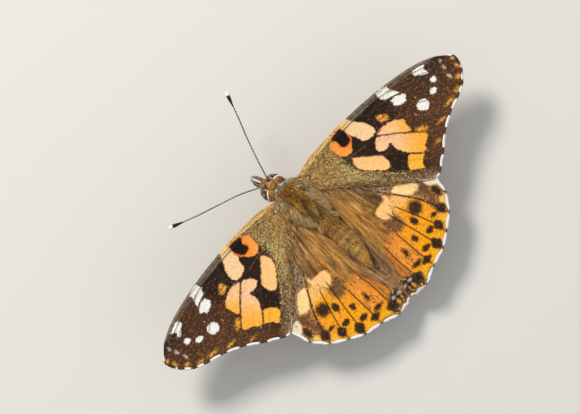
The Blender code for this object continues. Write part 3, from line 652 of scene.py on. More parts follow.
def scaled_membrane(name):
    """Wing scales: each one a tiny tile of a single colour, in rows that overlap like shingles."""
    made = bpy.data.materials.new(name)
    made.use_nodes = True
    tree = made.node_tree
    shader = tree.nodes["Principled BSDF"]
    marks = node_at(tree, "ShaderNodeAttribute", attribute_name="Marks")
    dust = node_at(tree, "ShaderNodeAttribute", attribute_name="Dust")
    shares = tree.nodes.new("ShaderNodeSeparateColor")
    tree.links.new(dust.outputs["Color"], shares.inputs[0])
    rows = node_at(tree, "ShaderNodeUVMap", uv_map="Scales")
    tile = node_at(tree, "ShaderNodeMapping")
    tile.inputs["Scale"].default_value = (6.6, 4.4, 1.0)
    tree.links.new(rows.outputs[0], tile.inputs["Vector"])
    scales = node_at(tree, "ShaderNodeTexVoronoi", voronoi_dimensions="2D")
    scales.inputs["Scale"].default_value = 1.0
    tree.links.new(tile.outputs[0], scales.inputs["Vector"])
    drawn = tree.nodes.new("ShaderNodeSeparateColor")
    tree.links.new(scales.outputs["Color"], drawn.inputs[0])
    strand = node_at(tree, "ShaderNodeMapping")
    strand.inputs["Scale"].default_value = (7.0, 0.45, 1.0)
    tree.links.new(rows.outputs[0], strand.inputs["Vector"])
    silk = node_at(tree, "ShaderNodeTexNoise", noise_dimensions="2D")
    silk.inputs["Scale"].default_value = 1.0
    silk.inputs["Detail"].default_value = 3.0
    tree.links.new(strand.outputs[0], silk.inputs["Vector"])

    clumps = node_at(tree, "ShaderNodeTexNoise", noise_dimensions="2D")
    clumps.inputs["Scale"].default_value = 2.6
    clumps.inputs["Detail"].default_value = 2.0
    tree.links.new(rows.outputs[0], clumps.inputs["Vector"])
    darker = sum_node(tree, "MAXIMUM", sum_node(tree, "MULTIPLY_ADD", clumps.outputs[0], 5.0, -1.5), 0.0)
    paler = sum_node(tree, "MAXIMUM", sum_node(tree, "MULTIPLY_ADD", clumps.outputs[0], -5.0, 3.5), 0.0)

    each = sum_node(tree, "MULTIPLY_ADD", drawn.outputs[0], 0.3, 0.85)
    tone = blend_node(tree, "MULTIPLY", 1.0, marks.outputs["Color"], each)
    swing = sum_node(tree, "MULTIPLY", sum_node(tree, "SUBTRACT", silk.outputs[0], 0.5), dust.outputs["Alpha"])
    stripe = sum_node(tree, "MULTIPLY_ADD", swing, 1.9, 1.0)
    tone = blend_node(tree, "MULTIPLY", 1.0, tone, stripe)
    rust = sum_node(tree, "LESS_THAN", drawn.outputs[2], shares.outputs[2])
    tone = blend_node(tree, "MIX", sum_node(tree, "MULTIPLY", rust, 0.6), tone, (*linear((136, 80, 44)), 1.0))
    gold = sum_node(tree, "LESS_THAN", drawn.outputs[1], sum_node(tree, "MULTIPLY", shares.outputs[1], paler))
    tone = blend_node(tree, "MIX", sum_node(tree, "MULTIPLY", gold, 0.75), tone, (*linear((214, 180, 108)), 1.0))
    other = sum_node(tree, "FRACT", sum_node(tree, "MULTIPLY", drawn.outputs[0], 7.31))
    dark = sum_node(tree, "LESS_THAN", other, sum_node(tree, "MULTIPLY", shares.outputs[0], darker))
    tone = blend_node(tree, "MIX", sum_node(tree, "MULTIPLY", dark, 0.8), tone, (*linear((56, 40, 24)), 1.0))
    tree.links.new(tone, shader.inputs["Base Color"])

    height = sum_node(tree, "MULTIPLY_ADD", scales.outputs["Distance"], -0.6, drawn.outputs[0])
    height = sum_node(tree, "MULTIPLY_ADD", silk.outputs[0], 2.0, height)
    bump = node_at(tree, "ShaderNodeBump")
    bump.inputs["Strength"].default_value = 0.35
    bump.inputs["Distance"].default_value = 0.00004
    tree.links.new(height, bump.inputs["Height"])
    tree.links.new(bump.outputs[0], shader.inputs["Normal"])
    shader.inputs["Roughness"].default_value = 0.75
    shader.inputs["Specular IOR Level"].default_value = 0.12
    shader.inputs["Sheen Weight"].default_value = 0.04
    return made


fore_plan = cut_sheet(fore_outline)
membrane = scaled_membrane("wing scales")
for word, side in (("left", 1), ("right", -1)):
    faces = (fore_upper(fore_plan[0], 11 + side), fore_under(fore_plan[0], 21 + side))
    wing = make_wing("forewing_sheet_" + word, side, fore_plan, fore_place, fore_relief, fore_grain, faces, (0.0, 0.5), membrane)
    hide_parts("forewing_" + word)


# The hindwings. They are softer and hairier than the forewings, and their inner parts sink into a
# trough that the abdomen lies in. They are cut, raised and coloured as the forewings are, with the
# row of black spots, the pale patches and the violet corner drawn in their own plan.
HIND_LEVEL = -0.16
HIND_FRONT = ((1.2, 1.9), (5.0, 2.3), (8.0, 4.2), (11.0, 7.2), (13.8, 10.6), (15.8, 13.3))
HIND_CRESTS = (
    (16.75, 15.3),
    (16.1, 18.5),
    (14.1, 21.05),
    (11.6, 22.75),
    (9.25, 24.2),
    (6.15, 24.9),
    (3.2, 26.15),
    (1.1, 25.7),
)
HIND_VEINS = {
    "subcosta": ((3.0, 2.6), (4.0, 3.2), (9.0, 5.6), (12.6, 10.0), (15.9, 14.9)),
    "sector": ((6.2, 5.4), (10.5, 9.5), (13.8, 14.0), (15.7, 18.1)),
    "media_1": ((7.2, 7.0), (9.8, 11.9), (12.4, 16.2), (13.9, 20.6)),
    "media_2": ((6.9, 8.2), (8.6, 13.2), (10.1, 17.3), (11.0, 20.1), (11.5, 22.2)),
    "media_3": ((6.6, 9.4), (7.4, 14.5), (8.4, 19.5), (9.1, 23.7)),
    "cubitus_1": ((5.7, 9.2), (5.85, 16.0), (6.0, 21.0), (6.15, 24.4)),
    "cubitus_2": ((4.9, 7.6), (3.6, 13.5), (2.95, 20.0), (3.15, 25.6)),
    "anal": ((3.9, 5.2), (2.2, 9.5), (1.6, 15.0), (1.5, 25.2)),
    "cell": ((2.6, 3.2), (3.9, 4.0), (6.2, 5.4), (7.2, 7.0), (6.6, 9.4), (5.7, 9.2), (4.9, 7.6), (3.9, 5.2)),
}
INNER_END = 25.4
PEACH_PATCH = (
    (6.1, 12.65),
    (6.95, 12.1),
    (7.8, 11.9),
    (8.4, 11.5),
    (9.1, 11.55),
    (9.25, 12.35),
    (8.85, 13.0),
    (8.4, 13.25),
    (8.2, 14.1),
    (7.5, 14.85),
    (6.7, 14.55),
    (6.0, 13.75),
)
CREAM_PATCH = (
    (10.2, 12.1),
    (11.4, 11.85),
    (12.6, 12.55),
    (13.5, 13.6),
    (14.1, 14.6),
    (13.7, 15.15),
    (12.9, 15.15),
    (12.0, 14.75),
    (11.2, 14.0),
    (10.5, 13.2),
)
ORANGE_FIELD = (
    (8.5, 13.3),
    (9.3, 12.6),
    (10.15, 12.7),
    (10.9, 13.8),
    (12.0, 15.3),
    (12.7, 17.0),
    (13.1, 18.8),
    (13.2, 21.0),
    (11.0, 22.8),
    (8.0, 24.2),
    (3.6, 24.8),
    (2.0, 24.0),
    (1.7, 20.5),
    (2.3, 17.2),
    (4.0, 16.2),
    (5.8, 16.6),
    (7.9, 17.0),
    (8.0, 15.6),
    (8.25, 14.3),
)
COSTAL_SHADE = (
    (6.2, 3.0),
    (9.0, 4.0),
    (12.0, 7.5),
    (15.0, 11.5),
    (16.8, 14.5),
    (15.0, 15.2),
    (13.9, 14.6),
    (13.2, 13.3),
    (12.0, 12.2),
    (10.8, 11.7),
    (9.6, 11.8),
    (8.9, 11.2),
    (7.8, 11.4),
    (7.0, 11.2),
    (6.8, 9.0),
    (6.4, 6.0),
)
OUTER_SHADE = (
    (12.2, 15.1),
    (13.4, 15.0),
    (14.6, 14.3),
    (15.6, 14.9),
    (15.4, 16.2),
    (15.85, 17.2),
    (15.4, 18.1),
    (14.5, 18.3),
    (14.3, 20.1),
    (13.3, 20.2),
    (12.9, 18.8),
    (12.7, 17.0),
)
HIND_SPOTS = (
    ((10.9, 16.55), (1.12, 1.15), 0.4),
    ((9.25, 17.8), (0.52, 0.8), 0.12),
    ((7.3, 19.8), (0.48, 0.62), 0.12),
    ((4.68, 20.25), (0.34, 0.8), 0.2),
)
INNER_SPOTS = (
    ((12.1, 19.5), (0.66, 0.32), 0.15),
    ((9.9, 20.65), (0.72, 0.5), 0.12),
    ((7.42, 22.1), (0.76, 0.46), 0.12),
    ((4.6, 22.75), (0.85, 0.42), 0.2),
)
EDGE_SPOTS = (
    ((15.2, 17.2), (0.5, 0.92), 0.2),
    ((13.65, 19.6), (0.72, 0.8), 0.2),
    ((11.4, 21.15), (0.72, 0.82), 0.15),
    ((9.05, 22.85), (0.76, 0.92), 0.15),
    ((6.1, 23.45), (0.85, 0.55), 0.15),
    ((3.0, 24.45), (0.85, 0.75), 0.2),
)


def hind_upper(at, seed):
    sheet = Sheet(at, seed)
    u, v = at[:, 0], at[:, 1]
    sheet.wash((158, 112, 56), dust=(0.12, 0.12, 0.05, 1.0))
    sheet.wash((140, 108, 64), ease((9.0 - v) / 5.0), (0.2, 0.2, 0.0, 1.0))
    sheet.mark(COSTAL_SHADE, (146, 120, 96), soft=0.5, dust=(0.3, 0.1, 0.14, 0.9))
    sheet.wash((112, 90, 68), 0.35 * ease(1.0 - np.abs(u - v + 3.0) / 1.6) * ease((u - 7.2) / 1.2) * ease((11.9 - v) / 0.8))
    sheet.mark(ORANGE_FIELD, (241, 155, 30), soft=0.35, dust=(0.01, 0.0, 0.05, 0.35), to=(242, 160, 10), way=((9.0, 17.0), (8.5, 23.0)))
    field = ease(0.5 + depth_inside(at, run_through(ORANGE_FIELD, 0.5, closed=True)) / 0.7)
    sheet.wash((243, 184, 104), field * ease((15.9 - v) / 1.8) * (u > 8.0))
    sheet.wash((228, 140, 52), 0.9 * field * ease((7.2 - u) / 1.6) * ease((23.3 - v) / 1.0), (0.02, 0.0, 0.1, 0.9))
    sheet.wash((196, 122, 52), 0.8 * field * ease((3.6 - u) / 1.2), (0.04, 0.0, 0.1, 1.0))
    sheet.wash((172, 118, 60), 0.55 * ease((u - 2.0) / 1.0) * ease((5.4 - u) / 1.0) * ease((19.0 - v) / 4.0), (0.05, 0.04, 0.08, 1.0))
    sheet.mark(((5.5, 14.7), (6.5, 15.0), (7.6, 15.0), (8.1, 15.4), (7.9, 16.9), (7.0, 17.4), (6.0, 17.2), (5.5, 15.9)),
               (116, 80, 48), soft=0.5, share=0.92, dust=(0.2, 0.0, 0.15, 0.8))
    sheet.mark(PEACH_PATCH, (249, 192, 122), soft=0.12)
    sheet.mark(CREAM_PATCH, (248, 208, 140), soft=0.15)
    sheet.mark(OUTER_SHADE, (192, 128, 68), soft=0.35, dust=(0.3, 0.02, 0.25, 0.5))
    sheet.mark(((13.4, 14.9), (14.7, 14.3), (15.0, 15.0), (14.6, 16.4), (14.3, 17.6), (13.6, 19.0), (12.9, 19.3), (13.3, 17.6), (13.6, 16.4)),
               (84, 60, 42), soft=0.4, share=0.85, dust=(0.1, 0.0, 0.3, 0.3))
    sheet.spot((13.05, 15.5), (0.45, 0.42), (88, 66, 50), soft=0.3, share=0.85)
    sheet.mark(((14.9, 14.6), (16.9, 14.9), (16.9, 16.6), (16.2, 16.9), (15.6, 16.3), (14.9, 15.6)), (240, 224, 188), soft=0.2, share=0.9)
    for loop, tone in (
        (((14.4, 18.5), (15.2, 18.35), (15.75, 18.9), (14.9, 20.2), (14.5, 19.6)), (228, 184, 92)),
        (((12.3, 20.3), (13.2, 20.4), (13.8, 21.0), (12.4, 22.0), (12.1, 21.2)), (234, 172, 52)),
        (((9.9, 21.9), (10.6, 21.6), (10.9, 22.6), (10.0, 23.5), (9.7, 22.9)), (236, 164, 34)),
        (((6.9, 23.4), (8.2, 23.2), (8.5, 24.1), (6.8, 24.5)), (240, 168, 26)),
        (((4.0, 24.1), (5.2, 23.85), (5.7, 24.4), (4.2, 25.1), (3.6, 25.4)), (238, 164, 32)),
    ):
        sheet.mark(loop, tone, soft=0.15)
    for spots, power in ((HIND_SPOTS, 2.0), (INNER_SPOTS, 1.7), (EDGE_SPOTS, 1.35)):
        for middle, size, soft in spots:
            swell = 2.0 ** (1.0 / power - 0.5)
            sheet.spot(middle, np.array(size) * swell, (50, 33, 22), soft=soft, share=0.97, dust=(0.05, 0.0, 0.05, 0.1), power=power)
    sheet.mark(((0.0, 22.9), (1.4, 22.8), (2.5, 23.2), (3.8, 23.7), (3.9, 24.4), (3.3, 25.7), (2.3, 25.2), (0.9, 25.3), (-0.2, 25.0)),
               (50, 34, 25), soft=0.3, dust=(0.0, 0.05, 0.2, 0.2))
    for middle in ((0.62, 23.75), (1.95, 23.65)):
        sheet.spot(middle, (0.42, 0.24), (192, 186, 206), soft=0.12)
    sheet.spot((1.75, 24.65), (0.3, 0.44), (226, 150, 60), soft=0.15)
    sheet.spot((0.95, 24.5), (0.16, 0.4), (206, 138, 72), soft=0.1)
    sheet.mark(((-0.5, 4.0), (1.6, 6.0), (2.1, 9.0), (1.85, 14.0), (1.3, 18.0), (0.8, 22.0), (0.55, 23.6), (-0.5, 24.0)),
               (142, 106, 70), soft=0.4, share=0.9, dust=(0.08, 0.08, 0.03, 1.0))
    for name, share in (("media_1", 1.0), ("media_2", 0.9), ("media_3", 0.95), ("cubitus_1", 0.95), ("cubitus_2", 0.85), ("anal", 0.25)):
        far, passed = line_distance(at, run_through(HIND_VEINS[name], 0.5))
        begin = 11.5 if name == "media_1" else 16.5 if name.startswith("cubitus") else 13.5
        width = 0.2 if name == "media_1" else 0.13
        sheet.wash((40, 26, 17), share * ease(1.0 - (far - 0.02) / width) * ease((v - begin) / 1.2))
    return sheet


def hind_under(at, seed):
    sheet = Sheet(at, seed)
    u, v = at[:, 0], at[:, 1]
    cloud = ripple(at, 2.1, seed + 5) + 0.6 * ripple(at, 0.9, seed + 6)
    sheet.wash((164, 132, 92), dust=(0.16, 0.2, 0.05, 0.3))
    sheet.wash((120, 92, 60), ease(cloud * 1.6), (0.2, 0.1, 0.1, 0.3))
    sheet.wash((226, 212, 184), ease(-0.9 * cloud - 0.25), (0.05, 0.1, 0.0, 0.2))
    sheet.mark(((3.0, 17.6), (5.5, 18.2), (8.0, 16.8), (10.0, 14.9), (12.5, 13.2), (15.5, 13.4), (16.2, 15.6), (13.6, 17.9), (10.4, 20.2), (7.4, 21.6), (3.0, 22.0)),
               (176, 148, 108), soft=0.4, dust=(0.15, 0.2, 0.05, 0.2))
    for name, vein in HIND_VEINS.items():
        far, _ = line_distance(at, run_through(vein, 0.5))
        sheet.wash((236, 224, 200), 0.75 * ease(1.0 - far / 0.2))
    for middle, size in (((13.4, 15.1), 0.55), ((10.9, 16.9), 0.85), ((9.2, 18.2), 0.6), ((7.3, 19.6), 0.62), ((4.6, 20.2), 0.9)):
        sheet.spot(middle, (1.45 * size, 1.45 * size), (206, 178, 112), soft=0.15)
        sheet.spot(middle, (1.2 * size, 1.2 * size), (44, 32, 26), soft=0.08)
        sheet.spot(middle, (1.0 * size, 1.0 * size), (196, 146, 72), soft=0.08)
        sheet.spot(middle, (0.62 * size, 0.62 * size), (34, 30, 34), soft=0.06)
        sheet.spot(middle, (0.26 * size, 0.26 * size), (120, 150, 178), soft=0.05)
    margin = depth_inside(at, hind_outline, 3.0)
    outer = ease((v + 0.45 * u - 19.0) / 2.0)
    sheet.wash((196, 184, 200), 0.7 * outer * ease(1.0 - np.abs(margin - 1.75) / 0.4))
    sheet.wash((226, 186, 116), 0.8 * outer * ease(1.0 - np.abs(margin - 0.95) / 0.45))
    sheet.wash((88, 64, 46), 0.85 * outer * ease(1.0 - np.abs(margin - 0.4) / 0.14))
    return sheet


def hind_place(side, at):
    u, v = at[:, 0], at[:, 1]
    deep = 2.3 - 1.18 * ease((v - 15.0) / 9.0)
    from_middle = u - side * 0.45 * ease((v - 12.0) / 12.0)
    sunk = 1.0 - ease((from_middle - 0.6) / 3.1)
    lapped = 0.17 * (1.0 - ease((from_middle + 0.2) / 0.9)) if side > 0 else 0.0
    return np.stack((side * u, v, HIND_LEVEL + bowed(u) - deep * sunk + lapped), 1)


def hind_relief(at):
    raised = np.zeros(len(at))
    sag = np.full(len(at), 9.0)
    for vein in HIND_VEINS.values():
        far, share = line_distance(at, run_through(vein, 0.5))
        raised = np.maximum(raised, (0.11 - 0.04 * share) * ease(1.0 - far / 0.26))
        sag = np.minimum(sag, far)
    folds = hind_grain(at) * (2.2, 0.12)
    soft = ease((6.0 - at[:, 0]) / 3.0)
    return raised - 0.08 * ease(sag / 1.3) + (0.03 + 0.07 * soft) * ripple(folds, 1.0, 41)


def hind_grain(at):
    away = at - np.array((3.0, -4.0))
    return np.stack((-np.arctan2(away[:, 0], away[:, 1]) * 20.0, np.linalg.norm(away, axis=1)), 1)


hind_plans = {}
for word, side in (("left", 1), ("right", -1)):
    lap = -0.2 if side > 0 else 0.03
    corner = (side * 0.45 + lap, INNER_END)
    margins = np.arange(INNER_END, 2.6, -SHEET_STEP)
    inner = np.stack((side * 0.45 * ease((margins - 12.0) / 12.0) + lap, margins), 1)
    hind_outline = np.vstack((
        run_through((*HIND_FRONT, HIND_CRESTS[0]), SHEET_STEP)[:-1],
        scalloped((*HIND_CRESTS, corner))[:-1],
        inner,
    ))
    hind_plans[word] = cut_sheet(hind_outline)
    faces = (hind_upper(hind_plans[word][0], 51 + side), hind_under(hind_plans[word][0], 61 + side))
    wing = make_wing("hindwing_sheet_" + word, side, hind_plans[word], hind_place, hind_relief, hind_grain, faces, (0.5, 0.0), membrane)
    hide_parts("hindwing_" + word)


# The fringe. A row of long scales stands out all along the outer margins, white between the ends
# of the veins and dark at each of them. They are thin closed blades, in two rows, each rooted in
# the sheet's rim.
# A tuft's rings, each with its place along the tuft and its share of the width.
LONG_TUFT = ((0.0, 1.0), (0.4, 0.9), (0.75, 0.6), (1.0, 0.0))
SHORT_TUFT = ((0.0, 1.0), (0.55, 0.85), (1.0, 0.0))


def make_tufts(name, roots, lies, ups, lengths, widths, tones, places, lift=0.4, droop=0.0, flat=0.7, dim=0.72,
               rings=SHORT_TUFT):
    """Closed tapered tufts. Each leaves its root partly upright and bends over to its lie."""
    count, tip = len(roots), 3 * (len(rings) - 1)
    start, end = lies + ups * lift, lies - ups * droop
    start /= np.linalg.norm(start, axis=1)[:, None]
    end /= np.linalg.norm(end, axis=1)[:, None]
    points = np.empty((count, tip + 1, 3))
    shade = np.empty(tip + 1)
    patch = np.empty((tip + 1, 2))
    for ring, (t, share) in enumerate(rings):
        middle = roots + lengths[:, None] * (start * (t - t * t / 2) + end * (t * t / 2))
        way = start * (1 - t) + end * t
        across = np.cross(way, ups)
        across /= np.linalg.norm(across, axis=1)[:, None]
        above = np.cross(across, way)
        half = (0.5 * share * widths)[:, None]
        if 3 * ring == tip:
            points[:, tip] = middle
        else:
            points[:, 3 * ring] = middle + across * half
            points[:, 3 * ring + 1] = middle + above * half * flat
            points[:, 3 * ring + 2] = middle - across * half
        for corner in range(1 if 3 * ring == tip else 3):
            # Painted shade and light: each tuft is darker towards its root, down in the coat, and a little lighter
            # towards its tip.
            shade[3 * ring + corner] = dim + (1.1 - dim) * t
            turn = 2 * math.pi * corner / 3
            patch[3 * ring + corner] = 0.0015 * (1 - t) * np.array((math.cos(turn), math.sin(turn)))
    faces = [(0, 1, 2)]
    for ring in range(0, tip - 3, 3):
        for p, q in ((0, 1), (1, 2), (2, 0)):
            faces += [(ring + p, ring + p + 3, ring + q), (ring + p + 3, ring + q + 3, ring + q)]
    faces += [(tip - 3, tip, tip - 2), (tip - 2, tip, tip - 1), (tip - 1, tip, tip - 3)]
    triangles = (np.array(faces)[None] + (tip + 1) * np.arange(count)[:, None, None]).reshape(-1, 3)
    piece = new_piece(name, points.reshape(-1, 3), triangles)
    colours = tones[:, None, :] * shade[None, :, None]
    colours *= np.minimum(1.0, 255.0 / colours.max(axis=2, keepdims=True))
    colours = linear(colours).reshape(-1, 3)
    give_colours(piece, "Marks", colours)
    give_map(piece, "OFBake", (places[:, None, :] + patch[None]).reshape(-1, 2))
    piece.data.materials.append(hair)
    return piece


hair = bpy.data.materials.new("hair and scales")
hair.use_nodes = True
strand_tone = node_at(hair.node_tree, "ShaderNodeAttribute", attribute_name="Marks")
hair_shader = hair.node_tree.nodes["Principled BSDF"]
hair.node_tree.links.new(strand_tone.outputs["Color"], hair_shader.inputs["Base Color"])
hair_shader.inputs["Roughness"].default_value = 0.65
hair_shader.inputs["Specular IOR Level"].default_value = 0.15
hair_shader.inputs["Sheen Weight"].default_value = 0.04


def make_fringe(name, side, margin, dark_at, place, seed, dark=0.3, reach=0.32):
    """Blades along a margin, given with the outside on its left, dark near the vein ends."""
    rng = np.random.default_rng(seed)
    steps = np.linalg.norm(np.diff(margin, axis=0), axis=1)
    passed = np.concatenate(((0.0,), np.cumsum(steps)))
    at = np.arange(0.0, passed[-1], 0.035)
    at = np.clip(np.repeat(at, 2) + rng.uniform(-0.02, 0.02, 2 * len(at)), 0.0, passed[-1])
    root = np.stack((np.interp(at, passed, margin[:, 0]), np.interp(at, passed, margin[:, 1])), 1)
    wide = np.stack([np.interp(np.clip(at + gap, 0, passed[-1]), passed, margin[:, axis])
                     for gap in (0.6, -0.6) for axis in (0, 1)], 1)
    along = wide[:, 0:2] - wide[:, 2:4]
    along /= np.linalg.norm(along, axis=1)[:, None]
    outward = np.stack((-along[:, 1], along[:, 0]), 1) + rng.normal(0.0, 0.1, (len(at), 2))
    near = np.min(np.linalg.norm(root[:, None] - np.array(dark_at)[None], axis=2), axis=1)
    white = near + rng.normal(0.0, 0.06, len(at)) > dark
    ends = ease(np.minimum(at, passed[-1] - at) / 0.8)
    length = (0.16 + reach * ease((near - 0.1) / 0.9)) * (0.6 + 0.4 * ends) * rng.uniform(0.8, 1.1, len(at))
    tones = np.where(white[:, None], (255.0, 252.0, 246.0), (66.0, 46.0, 34.0))
    tones = tones * rng.uniform(0.93, 1.06, (len(at), 1))
    inner = root - outward * 0.06
    start, tip = place(side, inner), place(side, inner + outward * 0.5)
    start[:, 2] += np.tile((0.03, -0.03), len(at) // 2)
    lies = tip - start
    lies /= np.linalg.norm(lies, axis=1)[:, None]
    ups = np.tile((0.0, 0.0, 1.0), (len(at), 1))
    return make_tufts(name, start, lies, ups, length, np.full(len(at), 0.085), tones,
                      (inner + (1.5, 2.6)) / 37.0, lift=0.1, droop=0.05, flat=0.4, dim=0.9)


fore_margin = np.vstack((run_through((FORE_FRONT_TIP[1], FORE_CRESTS[0]), 0.1)[:-1], scalloped(FORE_CRESTS)[:-1],
                         np.array((FORE_CRESTS[-1], (17.0, 15.4)))))
hind_margin = scalloped((*HIND_CRESTS, (0.3, INNER_END)))
for word, side in (("left", 1), ("right", -1)):
    edge = make_fringe("forewing_fringe_" + word, side, fore_margin[::-1], FORE_CRESTS, fore_place, 71 + side, dark=0.58)
    edge = make_fringe("hindwing_fringe_" + word, side, hind_margin[::-1], HIND_CRESTS[1:-1], hind_place, 81 + side, reach=0.4)


# The hair on the wings' roots. Long fine hair flows back over the inner hindwings, golden over
# brown, and taupe in the folds beside the abdomen. The forewings' roots carry shorter hair.
def make_wing_hair(name, side, place, relief, at, lies, length, width, tones, seed, locks, rise=0.05, rings=LONG_TUFT):
    """Tufts lying along a wing, given by places and ways on its plan, in lighter and darker locks."""
    rng = np.random.default_rng(seed)
    count = len(at)
    lies = lies / np.linalg.norm(lies, axis=1)[:, None]
    turn = rng.normal(0.0, 0.06, count)
    lies = np.stack((lies[:, 0] - turn * lies[:, 1], lies[:, 1] + turn * lies[:, 0]), 1)
    start, ahead = place(side, at), place(side, at + lies * 0.1)
    aside = place(side, at + np.stack((-lies[:, 1], lies[:, 0]), 1) * 0.1)
    ups = np.cross(ahead - start, aside - start) * side
    ups /= np.linalg.norm(ups, axis=1)[:, None]
    ahead = place(side, at + lies * length[:, None]) - start
    ahead /= np.linalg.norm(ahead, axis=1)[:, None]
    start = start + ups * (HALF_SHEET + relief(at)[:, None] - 0.03)
    tones = tones * (rng.uniform(0.72, 1.22, count) * (1.0 + 0.42 * locks))[:, None]
    return make_tufts(name, start, ahead, ups, length, width, tones, (at + (1.5, 2.6)) / 37.0,
                      lift=rise * 4, droop=rise * 0.5, flat=0.8, rings=rings)


def scattered(count, low, high, keep, seed):
    """Random places in a box of the plan that a test keeps, up to a count."""
    rng = np.random.default_rng(seed)
    at = rng.uniform(low, high, (8 * count, 2))
    return at[keep(at, rng.uniform(0.0, 1.0, 8 * count))][:count]


def pick(rng, tones, weights, count):
    """One colour for each tuft, drawn from a few by their weights."""
    return np.array(tones, float)[rng.choice(len(tones), count, p=np.array(weights) / sum(weights))]


def hairy_hind(at, chance):
    u, v = at[:, 0], at[:, 1]
    reach = 15.5 - 0.32 * np.clip(u - 3.0, 0.0, 9.0) ** 1.35 + 6.0 * ease((3.4 - u) / 2.0)
    front = 2.6 + 0.62 * np.clip(u - 3.0, 0.0, 9.0)
    patch = (u > 5.5) & (v > 11.0)
    return (v > front) & (v < reach) & (u > 0.25) & (u < 8.2) & ~patch & (chance < ease((reach - v) / 5.0) + 0.12)


for word, side in (("left", 1), ("right", -1)):
    rng = np.random.default_rng(91 + side)
    at = scattered(11500, (0.25, 2.6), (8.2, 24.0), hairy_hind, 93 + side)
    u, v = at[:, 0], at[:, 1]
    fan = at - (3.0, -4.0)
    folded = ease((3.0 - u) / 1.4) * ease((v - 8.0) / 4.0)
    fan = fan / np.linalg.norm(fan, axis=1)[:, None] * (1 - folded[:, None])
    fold = np.array((0.5, 26.0)) - at
    fan = fan + fold / np.linalg.norm(fold, axis=1)[:, None] * folded[:, None]
    golden = pick(rng, ((226, 160, 76), (244, 186, 98), (200, 134, 58), (122, 84, 42), (250, 206, 130)),
                  (5, 5, 3, 1.4, 1.6), len(at))
    taupe = pick(rng, ((168, 126, 84), (192, 152, 108), (128, 94, 64), (212, 176, 132)), (5, 4, 2, 1), len(at))
    tones = golden + (taupe - golden) * folded[:, None]
    near_front = ease(1.0 - (v - 0.97 * u) / 4.2)
    speckled = pick(rng, ((150, 112, 64), (70, 50, 32), (190, 142, 80), (134, 106, 80), (224, 180, 114)),
                    (4, 3, 4, 3, 1.4), len(at))
    tones += (speckled - tones) * (near_front * (1 - folded))[:, None]
    length = rng.uniform(1.3, 3.0, len(at)) * (1 - 0.3 * folded) * (1 - 0.68 * near_front)
    to_patch = np.where(u > 5.2, np.maximum(0.3, (12.2 - v) / np.maximum(fan[:, 1], 0.2)), 9.0)
    length = np.minimum(length, to_patch)
    tones *= (1.0 - 0.2 * ease((u - 5.0) / 1.6) * ease((v - 8.0) / 2.0))[:, None]
    locks = ripple(hind_grain(at) * (1.0, 0.08), 0.2, 97 + side)
    # Painted light: the hair is lighter at the forewing's root, where the forewing's hem shades it, and a little
    # lighter all over the left wing, where less lamp light falls, save near its front edge.
    tones *= (1.03 + 0.17 * ease((6.0 - v) / 2.0) * ease((u - 2.0) / 1.0) + 0.06 * (1 + side) * (1 - near_front))[:, None]
    coat = make_wing_hair("hindwing_hair_" + word, side, hind_place, hind_relief, at, fan, length,
                          rng.uniform(0.04, 0.07, len(at)), tones, 95 + side, locks)


def hairy_fore(at, chance):
    u, v = at[:, 0], at[:, 1]
    inside = depth_inside(at, fore_outline) > 0.05
    bead = np.linalg.norm((at - (3.55, 0.66)) / (0.62, 0.42), axis=1) > 1.0
    hem = line_distance(at, run_through(FORE_BACK, 0.3))[0] < 0.7
    return inside & bead & (u > 1.8) & (v > -1.2) & (
        (chance < ease((9.5 - u) / 7.0) + 0.05) & (u < 9.0) | hem & (u < 13.0) & (chance < 0.9))


for word, side in (("left", 1), ("right", -1)):
    rng = np.random.default_rng(101 + side)
    at = scattered(6500, (1.8, -1.2), (13.0, 12.5), hairy_fore, 103 + side)
    fan = at - (-4.0, 0.0)
    hem = ease(1.0 - line_distance(at, run_through(FORE_BACK, 0.3))[0] / 0.9)
    fan += (np.array((0.45, 0.9)) * np.linalg.norm(fan, axis=1)[:, None] - fan) * hem[:, None]
    tones = pick(rng, ((184, 142, 80), (212, 170, 100), (128, 100, 58), (62, 46, 30), (232, 204, 148)),
                 (5, 4, 3, 3, 1), len(at))
    tones[at[:, 1] < -0.55] = (184, 148, 80)
    tones *= 1.0 + 0.34 * ease((7.0 - at[:, 0]) / 2.5)[:, None]
    tones *= 1.0 - 0.14 * hem[:, None]
    length = rng.uniform(0.3, 0.62, len(at)) * (1.25 - 0.06 * at[:, 0]) + 0.5 * hem
    coat = make_wing_hair("forewing_hair_" + word, side, fore_place, fore_relief, at, fan, length,
                          rng.uniform(0.035, 0.06, len(at)), tones, 105 + side, ripple(at, 0.2, 107 + side), rise=0.04,
                          rings=SHORT_TUFT)


# The body's skin. Head, feelers, thorax and abdomen are one closed skin, drawn as smooth lofts and
# balls, joined, and made even. It lies a coat's depth inside the body's outline, and its colours
# are told by place, so that skin and coat carry the same marks.
TRUNK = (
    (-1.75, 1.2, 1.2, 0.45, -1.2),
    (-1.3, 0.98, 1.95, 0.85, -1.8),
    (-0.6, 0.75, 2.45, 1.3, -2.45),
    (0.4, 0.65, 2.65, 1.75, -3.0),
    (1.7, 0.55, 2.75, 2.0, -3.45),
    (3.2, 0.45, 2.6, 1.9, -3.45),
    (4.6, 0.28, 2.05, 1.45, -2.85),
    (5.9, 0.1, 1.45, 1.0, -2.1),
    (6.7, 0.03, 1.25, 0.82, -1.7),
    (8.0, 0.0, 1.5, 1.05, -1.7),
    (11.0, 0.0, 1.6, 1.1, -1.7),
    (13.5, 0.05, 1.42, 0.97, -1.57),
    (15.5, 0.22, 1.05, 0.65, -1.25),
    (17.0, 0.5, 0.58, 0.26, -0.84),
    (17.7, 0.66, 0.22, 0.02, -0.5),
)
RINGS_FROM = 7.4
RING_LENGTH = 1.28
HEAD_AT = np.array((1.95, -2.85, -0.45))
HEAD_TURN = np.array(Matrix.Rotation(math.radians(18), 3, "Z") @ Matrix.Rotation(math.radians(-10), 3, "Y"))
EYE_AT = np.array((1.15, 0.1, -0.05))
EYE_HALF = np.array((1.02, 1.36, 1.28))
